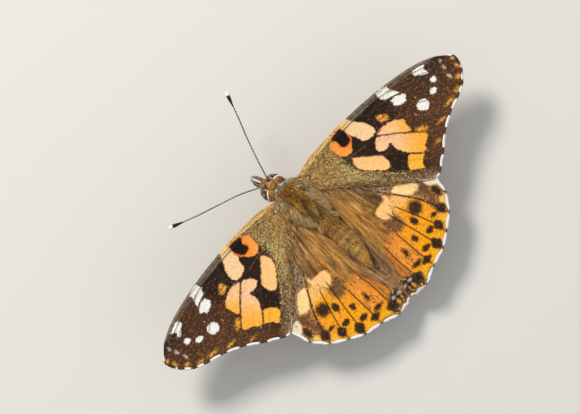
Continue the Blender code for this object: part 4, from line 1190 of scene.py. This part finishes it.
EYE_TURN = np.array(Matrix.Rotation(math.radians(-35), 3, "Z") @ Matrix.Rotation(math.radians(-6), 3, "Y"))
BROW = np.array((-0.48, 0.63, 0.61))  # the middle of the furry cap over each eye, and its spread
BROW_SPREAD = math.radians(54)
PALP_PATH = ((0.42, -0.7, -0.8), (0.56, -1.5, -0.7), (0.52, -2.1, -0.58), (0.36, -2.7, -0.28), (0.14, -3.2, 0.05))
PALP_RADII = (0.3, 0.27, 0.25, 0.19, 0.06)


def in_head(points):
    return points @ HEAD_TURN.T + HEAD_AT


def loft(rings):
    """A closed surface over rings of points, given from first to last, with its faces outward."""
    count, around = len(rings), len(rings[0])
    points = np.vstack((*rings, rings[0].mean(0), rings[-1].mean(0)))
    i, j = (grid.ravel() for grid in np.meshgrid(np.arange(count - 1), np.arange(around), indexing="ij"))
    here, beside = i * around + j, i * around + (j + 1) % around
    ring = np.arange(around)
    ahead = (ring + 1) % around
    last = (count - 1) * around
    triangles = np.vstack((
        np.stack((here, beside, here + around), 1),
        np.stack((beside, beside + around, here + around), 1),
        np.stack((ahead, ring, np.full(around, count * around)), 1),
        np.stack((last + ring, last + ahead, np.full(around, count * around + 1)), 1),
    ))
    a, b, c = (points[triangles[:, k]] for k in range(3))
    outward = (a * np.cross(b, c)).sum() > 0.0
    return points, triangles if outward else triangles[:, ::-1]


def sweep(path, radii, step, turn=0.5):
    """A smooth line with its radius, its way and two ways square to it at each point."""
    line = run_through(np.column_stack((path, radii)), step, turn=turn)
    line, radius = line[:, :3], line[:, 3]
    way = np.gradient(line, axis=0)
    way /= np.linalg.norm(way, axis=1)[:, None]
    first = np.empty_like(line)
    carried = np.cross(way[0], (0.0, 0.0, 1.0) if abs(way[0, 2]) < 0.8 else (1.0, 0.0, 0.0))
    for index, here in enumerate(way):
        carried = carried - here * (carried @ here)
        carried = carried / np.linalg.norm(carried)
        first[index] = carried
    return line, radius, way, first, np.cross(way, first)


def tube(path, radii, around=16, step=0.1, turn=0.5, scale=None):
    """A round loft along a smooth path, with a radius at each of its points."""
    line, radius, _, first, second = sweep(path, radii, step, turn)
    if scale is not None:
        radius = radius * scale(line)
    turns = np.arange(around) * 2 * math.pi / around
    rings = [
        middle + r * (np.cos(turns)[:, None] * a + np.sin(turns)[:, None] * b)
        for middle, r, a, b in zip(line, radius, first, second)
    ]
    return loft(rings)


def ball(middle, half, around=32):
    """A closed ellipsoid in its own straight axes."""
    rings = []
    for tilt in np.linspace(0.06, math.pi - 0.06, around // 2):
        turns = np.arange(around) * 2 * math.pi / around
        ring = np.stack((np.sin(tilt) * np.cos(turns), np.full(around, -np.cos(tilt)), -np.sin(tilt) * np.sin(turns)), 1)
        rings.append(np.array(middle) + ring * half)
    return loft(rings)


def trunk_rings():
    stations = run_through(TRUNK, 0.3)
    turns = np.arange(40) * 2 * math.pi / 40
    for y, middle, half, top, bottom in stations:
        groove = 1.0
        if y > RINGS_FROM:
            groove -= 0.05 * (0.5 + 0.5 * math.cos(2 * math.pi * (y - RINGS_FROM) / RING_LENGTH)) ** 6
        x = middle + groove * half * np.cos(turns)
        z = (top + bottom) / 2 + groove * (top - bottom) / 2 * np.sin(turns)
        yield np.stack((x, np.full(40, y), z), 1)


blobs = [loft(list(trunk_rings()))]
blobs.append(ball((1.5, -1.6, -0.35), (1.25, 0.7, 0.95)))
BROW_SHIFT = 0.2
brow_size = math.sqrt(1.0 + BROW_SHIFT**2 - 2.0 * BROW_SHIFT * math.cos(BROW_SPREAD))
for side in (1, -1):
    points, triangles = ball(BROW_SHIFT * BROW, (brow_size,) * 3)
    brow = (EYE_AT + points * EYE_HALF @ EYE_TURN.T) * (side, 1.0, 1.0)
    blobs.append((in_head(brow), triangles[:, ::side]))
    points, triangles = ball((0.0, 0.0, 0.0), (0.62, 1.45, 0.4))
    lean = np.array(Matrix.Rotation(math.radians(-6 * side), 3, "Z") @ Matrix.Rotation(math.radians(18 * side), 3, "Y"))
    blobs.append((points @ lean.T + (0.6 + side * 2.6, 0.85, 0.85), triangles))
    points, triangles = tube(np.array(PALP_PATH) * (side, 1.0, 1.0), PALP_RADII)
    blobs.append((in_head(points), triangles))
for middle, half in (
    ((0.0, 0.15, 0.1), (1.35, 1.1, 1.22)),
    ((0.0, 0.5, -0.05), (1.75, 0.62, 1.15)),
    ((0.0, -0.75, -0.1), (0.72, 0.65, 0.9)),
):
    points, triangles = ball(middle, half)
    blobs.append((in_head(points), triangles))
starts = np.cumsum([0] + [len(points) for points, _ in blobs])
skin = new_piece(
    "body_skin",
    np.vstack([points for points, _ in blobs]),
    np.vstack([triangles + start for (_, triangles), start in zip(blobs, starts)]),
)
bpy.ops.object.select_all(action="DESELECT")
skin.select_set(True)
bpy.context.view_layer.objects.active = skin
remesh = skin.modifiers.new("one skin", "REMESH")
remesh.mode = "VOXEL"
remesh.voxel_size = 0.00009
smooth = skin.modifiers.new("even", "SMOOTH")
smooth.factor = 0.5
smooth.iterations = 6
bpy.ops.object.modifier_apply(modifier="one skin")
bpy.ops.object.modifier_apply(modifier="even")
skin.data.shade_smooth()


def own_places(piece):
    """A piece's points and their normals, back in the butterfly's own millimetres."""
    mesh = piece.data
    points, normals = np.empty(3 * len(mesh.vertices)), np.empty(3 * len(mesh.vertices))
    mesh.vertices.foreach_get("co", points)
    mesh.vertex_normals.foreach_get("vector", normals)
    turn = STAND_MM[:3, :3] * 1000.0
    return (points.reshape(-1, 3) - STAND_MM[:3, 3]) @ turn * 1000.0, normals.reshape(-1, 3) @ turn


def middle_of(y):
    """The x of the body's middle at a place along it."""
    return np.interp(y, [row[0] for row in TRUNK], [row[1] for row in TRUNK])


def on_eyes(points):
    """How far out places near the head lie from the nearer eye, which is one at its surface."""
    local = (points - HEAD_AT) @ HEAD_TURN
    local[:, 0] = np.abs(local[:, 0])
    return np.linalg.norm((local - EYE_AT) @ EYE_TURN / EYE_HALF, axis=1)


def body_tone(points):
    """The colour of skin and coat by place."""
    x, y, z = points.T
    across = np.abs(x - middle_of(y))
    tone = np.tile((184.0, 134.0, 58.0), (len(points), 1))

    def wash(colour, share):
        tone[:] += (np.array(colour, float) - tone) * np.clip(share, 0.0, 1.0)[:, None]

    flecks = ripple(points[:, :2] + points[:, 2:] * 0.7, 0.35, 111)
    wash((232, 180, 108), ease((across - 1.1) / 0.9) * ease((6.4 - y) / 1.5))
    wash((170, 164, 136), 0.7 * ease((across - 1.0) / 0.5) * ease(1.0 - np.abs(y - 0.1) / 1.5) * ease((2.6 - across) / 0.4))
    lobe = np.interp(y, (-2.0, -1.6, -0.6, 1.6, 2.6), (1.5, 1.8, 2.75, 3.3, 3.4)) - across
    wash((114, 62, 4), 0.82 * ease(1.0 - across / 1.3) * ease((3.8 - y) / 1.4) * (0.7 + 0.5 * flecks))
    clear = ease((on_eyes(points) - 1.12) / 0.08)
    wash((190, 190, 182), 0.95 * clear * ease(1.2 - np.abs(y + 1.8 - 0.1 * across) / 0.6) * ease((z + 1.2) / 1.0))
    wash((240, 234, 224), 0.9 * clear * ease(1.3 - np.hypot(across - 1.9, y + 1.7) / 0.5) * ease((z + 1.2) / 1.0))
    wash((255, 198, 128), clear * ease(1.15 - np.abs(lobe - 0.1) / 0.5) * ease(2.6 - np.abs(y - 0.4)) * (z > -0.6))
    wash((158, 158, 132), 0.6 * ease(1.0 - np.abs(y - 0.1) / 0.6) * ease(1.0 - np.abs(across - 1.7) / 0.5))
    wash((132, 130, 84), 0.55 * ease(1.3 - np.hypot(across, y - 4.3) / 1.0))
    vee = np.abs(across - 0.32 * (6.3 - y)) / 0.35
    wash((82, 60, 30), 0.55 * ease(1.0 - vee) * ease((y - 2.4) / 0.8) * ease((6.8 - y) / 0.8))
    wash((228, 172, 88), 0.6 * ease(1.0 - np.abs(y - 5.9) / 1.2) * ease((across - 0.9) / 0.5))
    wash((182, 130, 60), ease((y - 6.6) / 1.2))
    wash((218, 154, 74), ease((y - 9.5) / 2.0))
    wash((70, 50, 28), 0.4 * ease((y - 7.2) / 1.5) * ease(flecks * 2.2 - 0.4) * ease((14.5 - y) / 1.0))
    for middle, share in ((10.1, 0.6), (11.35, 0.85), (12.6, 1.0), (13.9, 1.0), (15.1, 1.0)):
        wash((255, 222, 128), share * ease(1.0 - np.abs(y - middle) / 0.24))
    wash((255, 190, 84), 0.95 * ease((y - 14.3) / 1.2))
    wash((176, 140, 96), ease((-1.0 - z) / 0.7) * ease((y + 1.6) / 0.5))
    wash((232, 164, 86), np.maximum(ease((-2.3 - y) / 0.25), (1.0 - clear) * (y < -1.0)))
    wash((206, 146, 74), ease((-3.6 - y) / 0.5))
    return tone


own, facing_out = own_places(skin)
# Painted shade: the skin takes 0.62 of its coat's colour, darker, as it lies deep in the fur.
give_colours(skin, "Marks", linear(body_tone(own) * 0.62))
corners = np.empty(len(skin.data.loops), np.int32)
skin.data.loops.foreach_get("vertex_index", corners)
sizes = np.empty(len(skin.data.polygons), np.int32)
skin.data.polygons.foreach_get("loop_total", sizes)


def unrolled(points):
    """Places on an unwrap of the body: round it across, along it upwards."""
    x, y, z = points.T
    return np.stack((0.5 + 0.46 * np.arctan2(x - middle_of(y), z + 0.6) / math.pi, (y + 7.0) / 27.0), 1)


spread = unrolled(own)[corners]
owner = np.repeat(np.arange(len(sizes)), sizes)
right_most = np.full(len(sizes), -1.0)
np.maximum.at(right_most, owner, spread[:, 0])
spread[(right_most[owner] - spread[:, 0]) > 0.5, 0] += 0.92
skin_map = skin.data.uv_layers.new(name="OFBake")
skin_map.uv.foreach_set("vector", spread.astype(np.float32).ravel())
skin.data.materials.append(hair)
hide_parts("head", "thorax", "abdomen", "palp_left", "palp_right")


# The body's coat: long golden fur on the thorax that lies back over the roots of the wings, shorter
# flatter fur in rings on the abdomen, upright fur between the eyes, and bristly feelers.
skin.data.calc_loop_triangles()
skin_faces = np.empty(3 * len(skin.data.loop_triangles), np.int32)
skin.data.loop_triangles.foreach_get("vertices", skin_faces)
skin_faces = skin_faces.reshape(-1, 3)
corner_a, corner_b, corner_c = (own[skin_faces[:, i]] for i in range(3))
face_area = np.linalg.norm(np.cross(corner_b - corner_a, corner_c - corner_a), axis=1) / 2


def seeds_on_skin(count, weight, seed):
    """Random places on the skin, and the way out there, as often as a weight by place says."""
    rng = np.random.default_rng(seed)
    middle = (corner_a + corner_b + corner_c) / 3
    chance = face_area * weight(middle)
    face = rng.choice(len(face_area), count, p=chance / chance.sum())
    a, b = rng.uniform(0.0, 1.0, (2, count))
    over = a + b > 1.0
    a[over], b[over] = 1.0 - a[over], 1.0 - b[over]
    place = corner_a[face] + a[:, None] * (corner_b - corner_a)[face] + b[:, None] * (corner_c - corner_a)[face]
    return place, facing_out[skin_faces[face, 0]]


def make_coat(name, count, weight, comb, reach, width, lift, seed, droop=0.15, mix=None, rings=LONG_TUFT, contrast=0.44):
    """Tufts on the skin, combed by a field of ways."""
    rng = np.random.default_rng(seed)
    roots, ups = seeds_on_skin(count, weight, seed + 1)
    lies = comb(roots, ups) + rng.normal(0.0, 0.16, (count, 3))
    lies -= ups * (lies * ups).sum(1)[:, None]
    lies /= np.linalg.norm(lies, axis=1)[:, None]
    locks = ripple(roots[:, :2] * (1.0, 0.35) + roots[:, 2:] * (0.7, 0.0), 0.22, seed + 2)
    tones = body_tone(roots) * (rng.uniform(0.72, 1.18, count) * (1.0 + contrast * locks))[:, None]
    bright, dark = rng.uniform(0.0, 1.0, (2, count))
    tones[bright < 0.12] = tones[bright < 0.12] * 0.45 + np.array((226.0, 186.0, 112.0)) * 0.55
    tones[dark < 0.14] *= 0.5
    tones[dark > 0.97] = (132.0, 132.0, 112.0)
    if mix is not None:
        tones = mix(roots, tones, rng)
    lengths = reach(roots) * rng.uniform(0.7, 1.15, count)
    coat = make_tufts(name, roots - ups * 0.04, lies, ups, lengths, width * rng.uniform(0.7, 1.2, count), tones,
                      unrolled(roots), lift=lift, droop=droop, flat=0.8, rings=rings)
    return coat


def on_thorax(points):
    return ease((points[:, 1] + 1.7) / 0.4) * ease((7.4 - points[:, 1]) / 1.0)


def combed_back(points, ups):
    x, y, _ = points.T
    out = (x - middle_of(y)) * 0.28
    return np.stack((out, np.ones(len(x)), np.full(len(x), -0.12)), 1)


make_coat("thorax_fur", 12000, on_thorax, combed_back,
          lambda points: 0.7 + 0.75 * ease((points[:, 1] + 1.2) / 2.0), 0.085, 0.55, 121)
make_coat("thorax_strands", 7000, on_thorax, combed_back,
          lambda points: 0.75 + 0.7 * ease((points[:, 1] + 1.2) / 2.0), 0.05, 0.75, 125,
          mix=lambda roots, tones, rng: tones * pick(rng, ((0.4, 0.38, 0.4), (1.0, 1.0, 1.0), (1.5, 1.45, 1.4), (0.9, 1.05, 1.3)),
                                                     (3, 3, 3, 1), len(roots)))
make_coat("abdomen_fur", 10500, lambda points: ease((points[:, 1] - 6.2) / 0.8), combed_back,
          lambda points: 0.5 + 0.7 * ease((9.5 - points[:, 1]) / 2.5), 0.06, 0.3, 131, contrast=0.2)


def on_head(points):
    local = (points - HEAD_AT) @ HEAD_TURN
    return ease((on_eyes(points) - 0.98) / 0.03) * ease((-1.45 - points[:, 1]) / 0.3) * ease((local[:, 1] + 1.45) / 0.2)


def combed_head(points, ups):
    local = (points - HEAD_AT) @ HEAD_TURN
    ahead = np.where(local[:, 1:2] < 0.25, (0.0, -1.0, 0.35), (0.0, 1.0, 0.3))
    return ahead @ HEAD_TURN.T + 0.15 * ups


make_coat("head_fur", 8500, on_head, combed_head,
          lambda points: 0.24 + 0.26 * ease((on_eyes(points) - 1.1) / 0.25), 0.05, 0.7, 141, rings=SHORT_TUFT)


def beside_body(points):
    """The sides of the hind thorax, over the roots of the hindwings."""
    x, y, z = points.T
    return ease((np.abs(x - middle_of(y)) - 0.9) / 0.5) * ease((y - 1.4) / 1.0) * ease((8.4 - y) / 1.6) * (z > -1.3)


def combed_aside(points, ups):
    x, y, _ = points.T
    side = np.sign(x - middle_of(y))
    return np.stack((0.6 * side, np.ones(len(x)), np.full(len(x), -0.08)), 1)


make_coat("shoulder_fur", 4200, beside_body, combed_aside,
          lambda points: 1.1 + 0.9 * ease(1.0 - np.abs(points[:, 1] - 4.2) / 3.0), 0.065, 1.3, 145, droop=-0.45,
          mix=lambda roots, tones, rng: pick(rng, ((248, 206, 142), (255, 224, 166), (210, 170, 112), (134, 106, 70)),
                                             (5, 3, 3, 1.5), len(roots)) * rng.uniform(0.75, 1.2, (len(roots), 1)))


def on_palps(points):
    local = (points - HEAD_AT) @ HEAD_TURN
    return ease((-1.2 - local[:, 1]) / 0.3)


def palp_tones(points, tones, rng):
    """White above and inside with a violet shade, and dark along the outer edge."""
    local = (points - HEAD_AT) @ HEAD_TURN
    aside, ahead, _ = np.array(PALP_PATH).T
    aside = np.abs(local[:, 0]) - np.interp(-local[:, 1], -ahead, aside)
    tones[:] = np.array((232.0, 224.0, 222.0)) * rng.uniform(0.7, 1.05, (len(points), 1))
    for share, tone in (
        (ease((-aside - 0.02) / 0.06), (140.0, 112.0, 138.0)),
        (ease((aside - 0.05) / 0.05), (62.0, 44.0, 40.0)),
        (ease((-aside - 0.13) / 0.05), (62.0, 46.0, 62.0)),
        (0.8 * ease((1.75 + local[:, 1]) / 0.35), (170.0, 110.0, 56.0)),
    ):
        tones += (np.array(tone) - tones) * share[:, None]
    return tones


make_coat("palp_fur", 3200, on_palps, lambda points, ups: np.tile(np.array((0.0, -1.0, 0.25)) @ HEAD_TURN.T, (len(points), 1)),
          lambda points: np.full(len(points), 0.34), 0.05, 0.35, 151, mix=palp_tones, rings=SHORT_TUFT)


# The eyes. Each is a glossy brown dome of thousands of tiny lenses with darker bands across it, and
# a rim of white scales stands along its rear edge.
def eye_tone(unit):
    """Orange brown with soft dark bands, a black band along the brow and a paler lower half."""
    out, rear, up = unit.T
    tone = np.tile((158.0, 104.0, 46.0), (len(unit), 1))
    bands = 0.5 + 0.5 * np.sin(11.0 * rear + 3.0 * out + 2.0 * up)
    from_brow = np.arccos(np.clip(unit @ BROW, -1.0, 1.0)) - BROW_SPREAD
    behind = 1.0 - ease((from_brow - 0.36) / 0.12)
    dark = np.clip(0.85 * bands**2 + 1.3 * behind, 0.0, 1.0)
    tone += (np.array((30.0, 17.0, 10.0)) - tone) * dark[:, None]
    below = ease((0.0 - up) / 0.12)
    return tone + (np.array((200.0, 176.0, 132.0)) - tone) * (0.7 * below)[:, None]


lens = bpy.data.materials.new("eye")
lens.use_nodes = True
lens_shader = lens.node_tree.nodes["Principled BSDF"]
lens_tone = node_at(lens.node_tree, "ShaderNodeAttribute", attribute_name="Marks")
lens.node_tree.links.new(lens_tone.outputs["Color"], lens_shader.inputs["Base Color"])
facets = node_at(lens.node_tree, "ShaderNodeTexVoronoi", feature="F1")
facets.inputs["Scale"].default_value = 28000.0
facet_at = lens.node_tree.nodes.new("ShaderNodeTexCoord")
lens.node_tree.links.new(facet_at.outputs["Object"], facets.inputs["Vector"])
facet_bump = node_at(lens.node_tree, "ShaderNodeBump")
facet_bump.invert = True
facet_bump.inputs["Strength"].default_value = 0.25
facet_bump.inputs["Distance"].default_value = 0.00001
lens.node_tree.links.new(facets.outputs["Distance"], facet_bump.inputs["Height"])
lens.node_tree.links.new(facet_bump.outputs[0], lens_shader.inputs["Normal"])
lens_shader.inputs["Roughness"].default_value = 0.3
lens_shader.inputs["Coat Weight"].default_value = 0.15

def on_side(local, side):
    """Places and ways given for the left of the head, mirrored for its right."""
    return local * (side, 1, 1)


for word, side in (("left", 1), ("right", -1)):
    unit, triangles = ball((0.0, 0.0, 0.0), (1.0, 1.0, 1.0), 72)
    dome = in_head(on_side(EYE_AT + unit * EYE_HALF @ EYE_TURN.T, side))
    eye = new_piece("eye_dome_" + word, dome, triangles[:, ::side])
    give_colours(eye, "Marks", linear(eye_tone(unit)))
    eye.data.materials.append(lens)
    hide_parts("eye_" + word)

    rng = np.random.default_rng(161 + side)
    count = 1800
    aside, above = np.cross(BROW, (1.0, 0.0, 0.0)), np.cross(np.cross(BROW, (1.0, 0.0, 0.0)), BROW)
    turns = rng.uniform(-math.pi, math.pi, count)
    spread = BROW_SPREAD + rng.uniform(-0.06, 0.045, count)
    ring = (np.cos(turns)[:, None] * above + np.sin(turns)[:, None] * aside) / np.linalg.norm(aside)
    unit = np.cos(spread)[:, None] * BROW + np.sin(spread)[:, None] * ring
    crescent = ease((unit[:, 0] + 0.04) / 0.1) * ease((unit[:, 2] - 0.12) / 0.15)
    roots = EYE_AT + unit * EYE_HALF @ EYE_TURN.T
    ups = (unit / EYE_HALF) @ EYE_TURN.T
    ups /= np.linalg.norm(ups, axis=1)[:, None]
    lies = (np.sin(spread)[:, None] * -BROW + np.cos(spread)[:, None] * ring) @ EYE_TURN.T
    lies -= ups * (lies * ups).sum(1)[:, None]
    lies /= np.linalg.norm(lies, axis=1)[:, None]
    tones = np.array((172.0, 120.0, 66.0)) + (np.array((252.0, 250.0, 246.0)) - (172.0, 120.0, 66.0)) * crescent[:, None]
    lengths = (0.11 + 0.05 * crescent) * rng.uniform(0.8, 1.15, count)
    roots, lies, ups = (on_side(value, side) for value in (roots, lies, ups))
    rim = make_tufts("eye_rim_" + word, in_head(roots), lies @ HEAD_TURN.T, ups @ HEAD_TURN.T, lengths,
                     0.05 + 0.03 * crescent, tones, unrolled(in_head(roots)), lift=0.7, droop=0.0)


# The antennae. Each is a fine dark rod of about forty rings, every one edged with white scales,
# that swells into a black club with a cream tip. It stands in a small socket on the crown.
ANTENNA_PATHS = {
    "left": ((3.25, -3.85, 1.3), (6.08, -5.4, 1.6), (9.4, -6.75, 1.9), (13.4, -8.3, 2.2), (17.55, -10.2, 2.5)),
    "right": ((1.15, -4.35, 1.1), (0.16, -7.0, 1.35), (-1.32, -10.6, 1.65), (-2.9, -14.0, 1.95), (-4.5, -17.9, 2.2)),
}
SHAFT_RADIUS = 0.112
CLUB_RADIUS = 0.3
RING_EVERY = 0.46

cuticle = bpy.data.materials.new("antenna and leg")
cuticle.use_nodes = True
cuticle_tone = node_at(cuticle.node_tree, "ShaderNodeAttribute", attribute_name="Marks")
cuticle_shader = cuticle.node_tree.nodes["Principled BSDF"]
cuticle.node_tree.links.new(cuticle_tone.outputs["Color"], cuticle_shader.inputs["Base Color"])
cuticle_shader.inputs["Roughness"].default_value = 0.5
cuticle_shader.inputs["Specular IOR Level"].default_value = 0.35


def passed_along(line):
    return np.concatenate(((0.0,), np.cumsum(np.linalg.norm(np.diff(line, axis=0), axis=1))))


for word, side in (("left", 1), ("right", -1)):
    base = in_head(np.array(((side * 0.42, -0.5, 0.85), (side * 0.47, -0.7, 1.45))))
    path = np.vstack((base, ANTENNA_PATHS[word]))
    line, _, way, first, second = sweep(path, np.ones(len(path)), 0.05)
    gone = passed_along(line)
    left = gone[-1] - gone
    radius = SHAFT_RADIUS + (CLUB_RADIUS - SHAFT_RADIUS) * ease((2.7 - left) / 1.8)
    radius *= np.sqrt(np.clip(1.0 - (1.0 - np.clip(left / 0.45, 0.0, 1.0)) ** 2, 0.02, 1.0))
    radius += 0.07 * ease(1.0 - np.abs(gone - 0.75) / 0.28)
    ring = np.abs((gone - 0.9) / RING_EVERY % 1.0 - 0.5) * 2.0
    radius *= 1.0 + 0.1 * ease((ring - 0.75) / 0.25) * (gone > 1.0)
    turns = np.arange(14) * 2 * math.pi / 14
    rings = [middle + r * (np.cos(turns)[:, None] * a + np.sin(turns)[:, None] * b)
             for middle, r, a, b in zip(line, radius, first, second)]
    tone = np.tile((66.0, 56.0, 72.0), (len(line), 1))
    tone += (np.array((24.0, 20.0, 20.0)) - tone) * ease((3.2 - left) / 0.8)[:, None]
    edge = ease((ring - 0.5) / 0.25) * (left > 2.4) * (gone > 0.9) * (0.75 + 0.25 * np.cos(left * 0.9 - 2.7))
    tone += (np.array((198.0, 194.0, 208.0)) - tone) * (0.9 * edge)[:, None]
    tone += (np.array((250.0, 242.0, 220.0)) - tone) * ease((0.74 - left) / 0.12)[:, None]
    tone = np.vstack((np.repeat(tone, 14, axis=0), tone[0], tone[-1]))
    points, triangles = loft(rings)
    antenna = new_piece("antenna_rod_" + word, points, triangles)
    give_colours(antenna, "Marks", linear(tone))
    antenna.data.materials.append(cuticle)
    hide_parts("antenna_" + word)


# The tongue. It's a long brown tube, coiled like a watch spring under the feelers.
COIL_AT = (-1.78, -2.4)
COIL_FROM, COIL_TO = 0.88, 0.2
COIL_TURNS = 2.75
turns = np.linspace(0.0, 2 * math.pi * COIL_TURNS, 60)
reach = np.linspace(COIL_FROM, COIL_TO, 60)
coil = np.stack((np.zeros(60), COIL_AT[0] + reach * np.cos(turns), COIL_AT[1] - reach * np.sin(turns)), 1)
coil = np.vstack(((0.0, -0.75, -0.8), (0.0, -0.88, -1.6), coil))
points, triangles = tube(coil, np.concatenate(((0.16,), np.linspace(0.13, 0.07, 61))), around=12, step=0.06)
tongue = new_piece("coiled_tongue", in_head(points), triangles)
give_colours(tongue, "Marks", linear(np.tile((92.0, 54.0, 30.0), (len(points), 1))))
tongue.data.materials.append(cuticle)
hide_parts("proboscis")


# The legs. The front pair is short and folded under the head like brushes. The other two pairs
# stand: a thick thigh, a spined shin and a foot of five joints with two claws. They are jointed
# tubes of a hard skin, covered with pale flat scales.
FORELEG = (
    ((1.0, 0.1, -2.3), 0.3),
    ((1.12, -0.2, -3.5), 0.3),
    ((1.22, -0.9, -4.2), 0.26),
    ((0.95, -2.05, -4.2), 0.22),
    ((0.6, -3.25, -3.8), 0.1),
)
HIPS = {
    "midleg": (((1.1, 1.95, -3.0), 0.4), ((1.2, 1.9, -4.0), 0.38), ((1.5, 1.8, -4.7), 0.32)),
    "hindleg": (((1.05, 3.8, -2.9), 0.4), ((1.15, 3.9, -3.85), 0.38), ((1.4, 4.2, -4.7), 0.32)),
}
LEG_JOINTS = {
    "midleg": ((5.2, 1.3, 5.9), (8.35, 0.68, 0.62), (8.85, 0.6, 0.28), (10.45, 0.2, 0.24)),
    "hindleg": ((5.0, 7.0, 5.1), (7.3, 13.5, 0.62), (7.45, 14.1, 0.28), (7.8, 15.85, 0.24)),
}
LEG_MIDDLE = 0.4
THIGH_RADIUS = 0.27
SHIN_RADIUS = 0.17
FOOT_RADIUS = 0.13


def from_floor(points):
    """Places over the floor in the butterfly's own frame."""
    return (np.array(points) - (0.0, 0.0, 8.6)) @ (STAND_MM[:3, :3] * 1000.0)


def limb(start, end, share):
    return np.array(start) + (np.array(end) - np.array(start)) * share


def leg_tone(points):
    flecks = ripple(points[:, :2] * 1.3 + points[:, 2:], 0.3, 171)
    tone = np.tile((176.0, 150.0, 112.0), (len(points), 1))
    return tone + (np.array((112.0, 86.0, 58.0)) - tone) * (0.5 + 0.5 * flecks)[:, None]


def make_leg(name, path, radii, spines, seed, node):
    """A jointed tube with a coat of short scales and a few spines."""
    points, triangles = tube(path, radii, around=18, step=0.07, turn=0.25)
    leg = new_piece(name, points, triangles)
    give_colours(leg, "Marks", linear(leg_tone(points) * 0.8))
    leg.data.materials.append(cuticle)
    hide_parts(node)
    rng = np.random.default_rng(seed)
    line, radius, way, first, second = sweep(path, radii, 0.07, 0.25)
    count = 1600
    at = rng.integers(3, len(line) - 2, count)
    turns = rng.uniform(0.0, 2 * math.pi, count)
    ups = np.cos(turns)[:, None] * first[at] + np.sin(turns)[:, None] * second[at]
    roots = line[at] + ups * radius[at, None] * 0.93
    lies = way[at] + rng.normal(0.0, 0.12, (count, 3))
    lengths = rng.uniform(0.16, 0.3, count)
    widths = np.full(count, 0.06)
    tones = leg_tone(roots) * rng.uniform(0.8, 1.3, (count, 1))
    spiny = rng.uniform(0.0, 1.0, count) < spines
    lengths[spiny] = rng.uniform(0.3, 0.5, spiny.sum())
    widths[spiny] = 0.045
    tones[spiny] = (70.0, 48.0, 32.0)
    lies[spiny] += ups[spiny] * 0.8
    places = np.stack((at / len(line), 0.05 + 0.9 * turns / (2 * math.pi)), 1)
    clear = stood(roots + (lies + 0.15 * ups) * lengths[:, None])[:, 2] > 0.00005
    roots, lies, ups, lengths, widths, tones, places = (
        value[clear] for value in (roots, lies, ups, lengths, widths, tones, places))
    coat = make_tufts(name + "_scales", roots, lies, ups, lengths, widths, tones, places, lift=0.15, droop=0.0)


for word, side in (("left", 1), ("right", -1)):
    path = [(middle_of(0.0) + side * x, y, z) for (x, y, z), _ in FORELEG]
    make_leg("foreleg_limb_" + word, path, [radius for _, radius in FORELEG], 0.35, 181 + side, "foreleg_" + word)
    for leg in ("midleg", "hindleg"):
        path = [(middle_of(y) + side * x, y, z) for (x, y, z), _ in HIPS[leg]]
        radii = [radius for _, radius in HIPS[leg]]
        knee, ankle, heel, toe = from_floor([(side * x + LEG_MIDDLE, y, z) for x, y, z in LEG_JOINTS[leg]])
        hip = path[-1]
        for share, radius in ((0.1, 0.85), (0.4, 1.0), (0.92, 0.72)):
            path.append(limb(hip, knee, share))
            radii.append(THIGH_RADIUS * radius)
        path.append(knee)
        radii.append(0.17)
        for share, radius in ((0.1, 1.05), (0.5, 0.9), (0.93, 1.1)):
            path.append(limb(knee, ankle, share))
            radii.append(SHIN_RADIUS * radius)
        path += [ankle, limb(ankle, heel, 0.7)]
        radii += [0.11, FOOT_RADIUS]
        for share in (0.05, 0.45, 0.5, 0.68, 0.72, 0.84, 0.88, 0.97):
            path.append(limb(heel, toe, share))
            radii.append(FOOT_RADIUS * (0.82 if share in (0.5, 0.72, 0.88) else 1.0))
        make_leg(leg + "_limb_" + word, path, radii, 0.06, 191 + side, leg + "_" + word)
        for lean in (0.5, -0.5):
            forward = (toe - heel) / np.linalg.norm(toe - heel)
            beside = np.cross(forward, (0.0, 0.0, 1.0)) * lean
            claw_path = [toe, toe + 0.16 * forward + 0.12 * beside, toe + 0.3 * forward + 0.3 * beside - (0, 0, 0.14)]
            points, triangles = tube(claw_path, (0.07, 0.05, 0.015), around=8, step=0.03)
            claw = new_piece(f"{leg}_claw_{word}_{'outer' if lean > 0 else 'inner'}", points, triangles)
            give_colours(claw, "Marks", linear(np.tile((52.0, 36.0, 26.0), (len(points), 1))))
            claw.data.materials.append(cuticle)
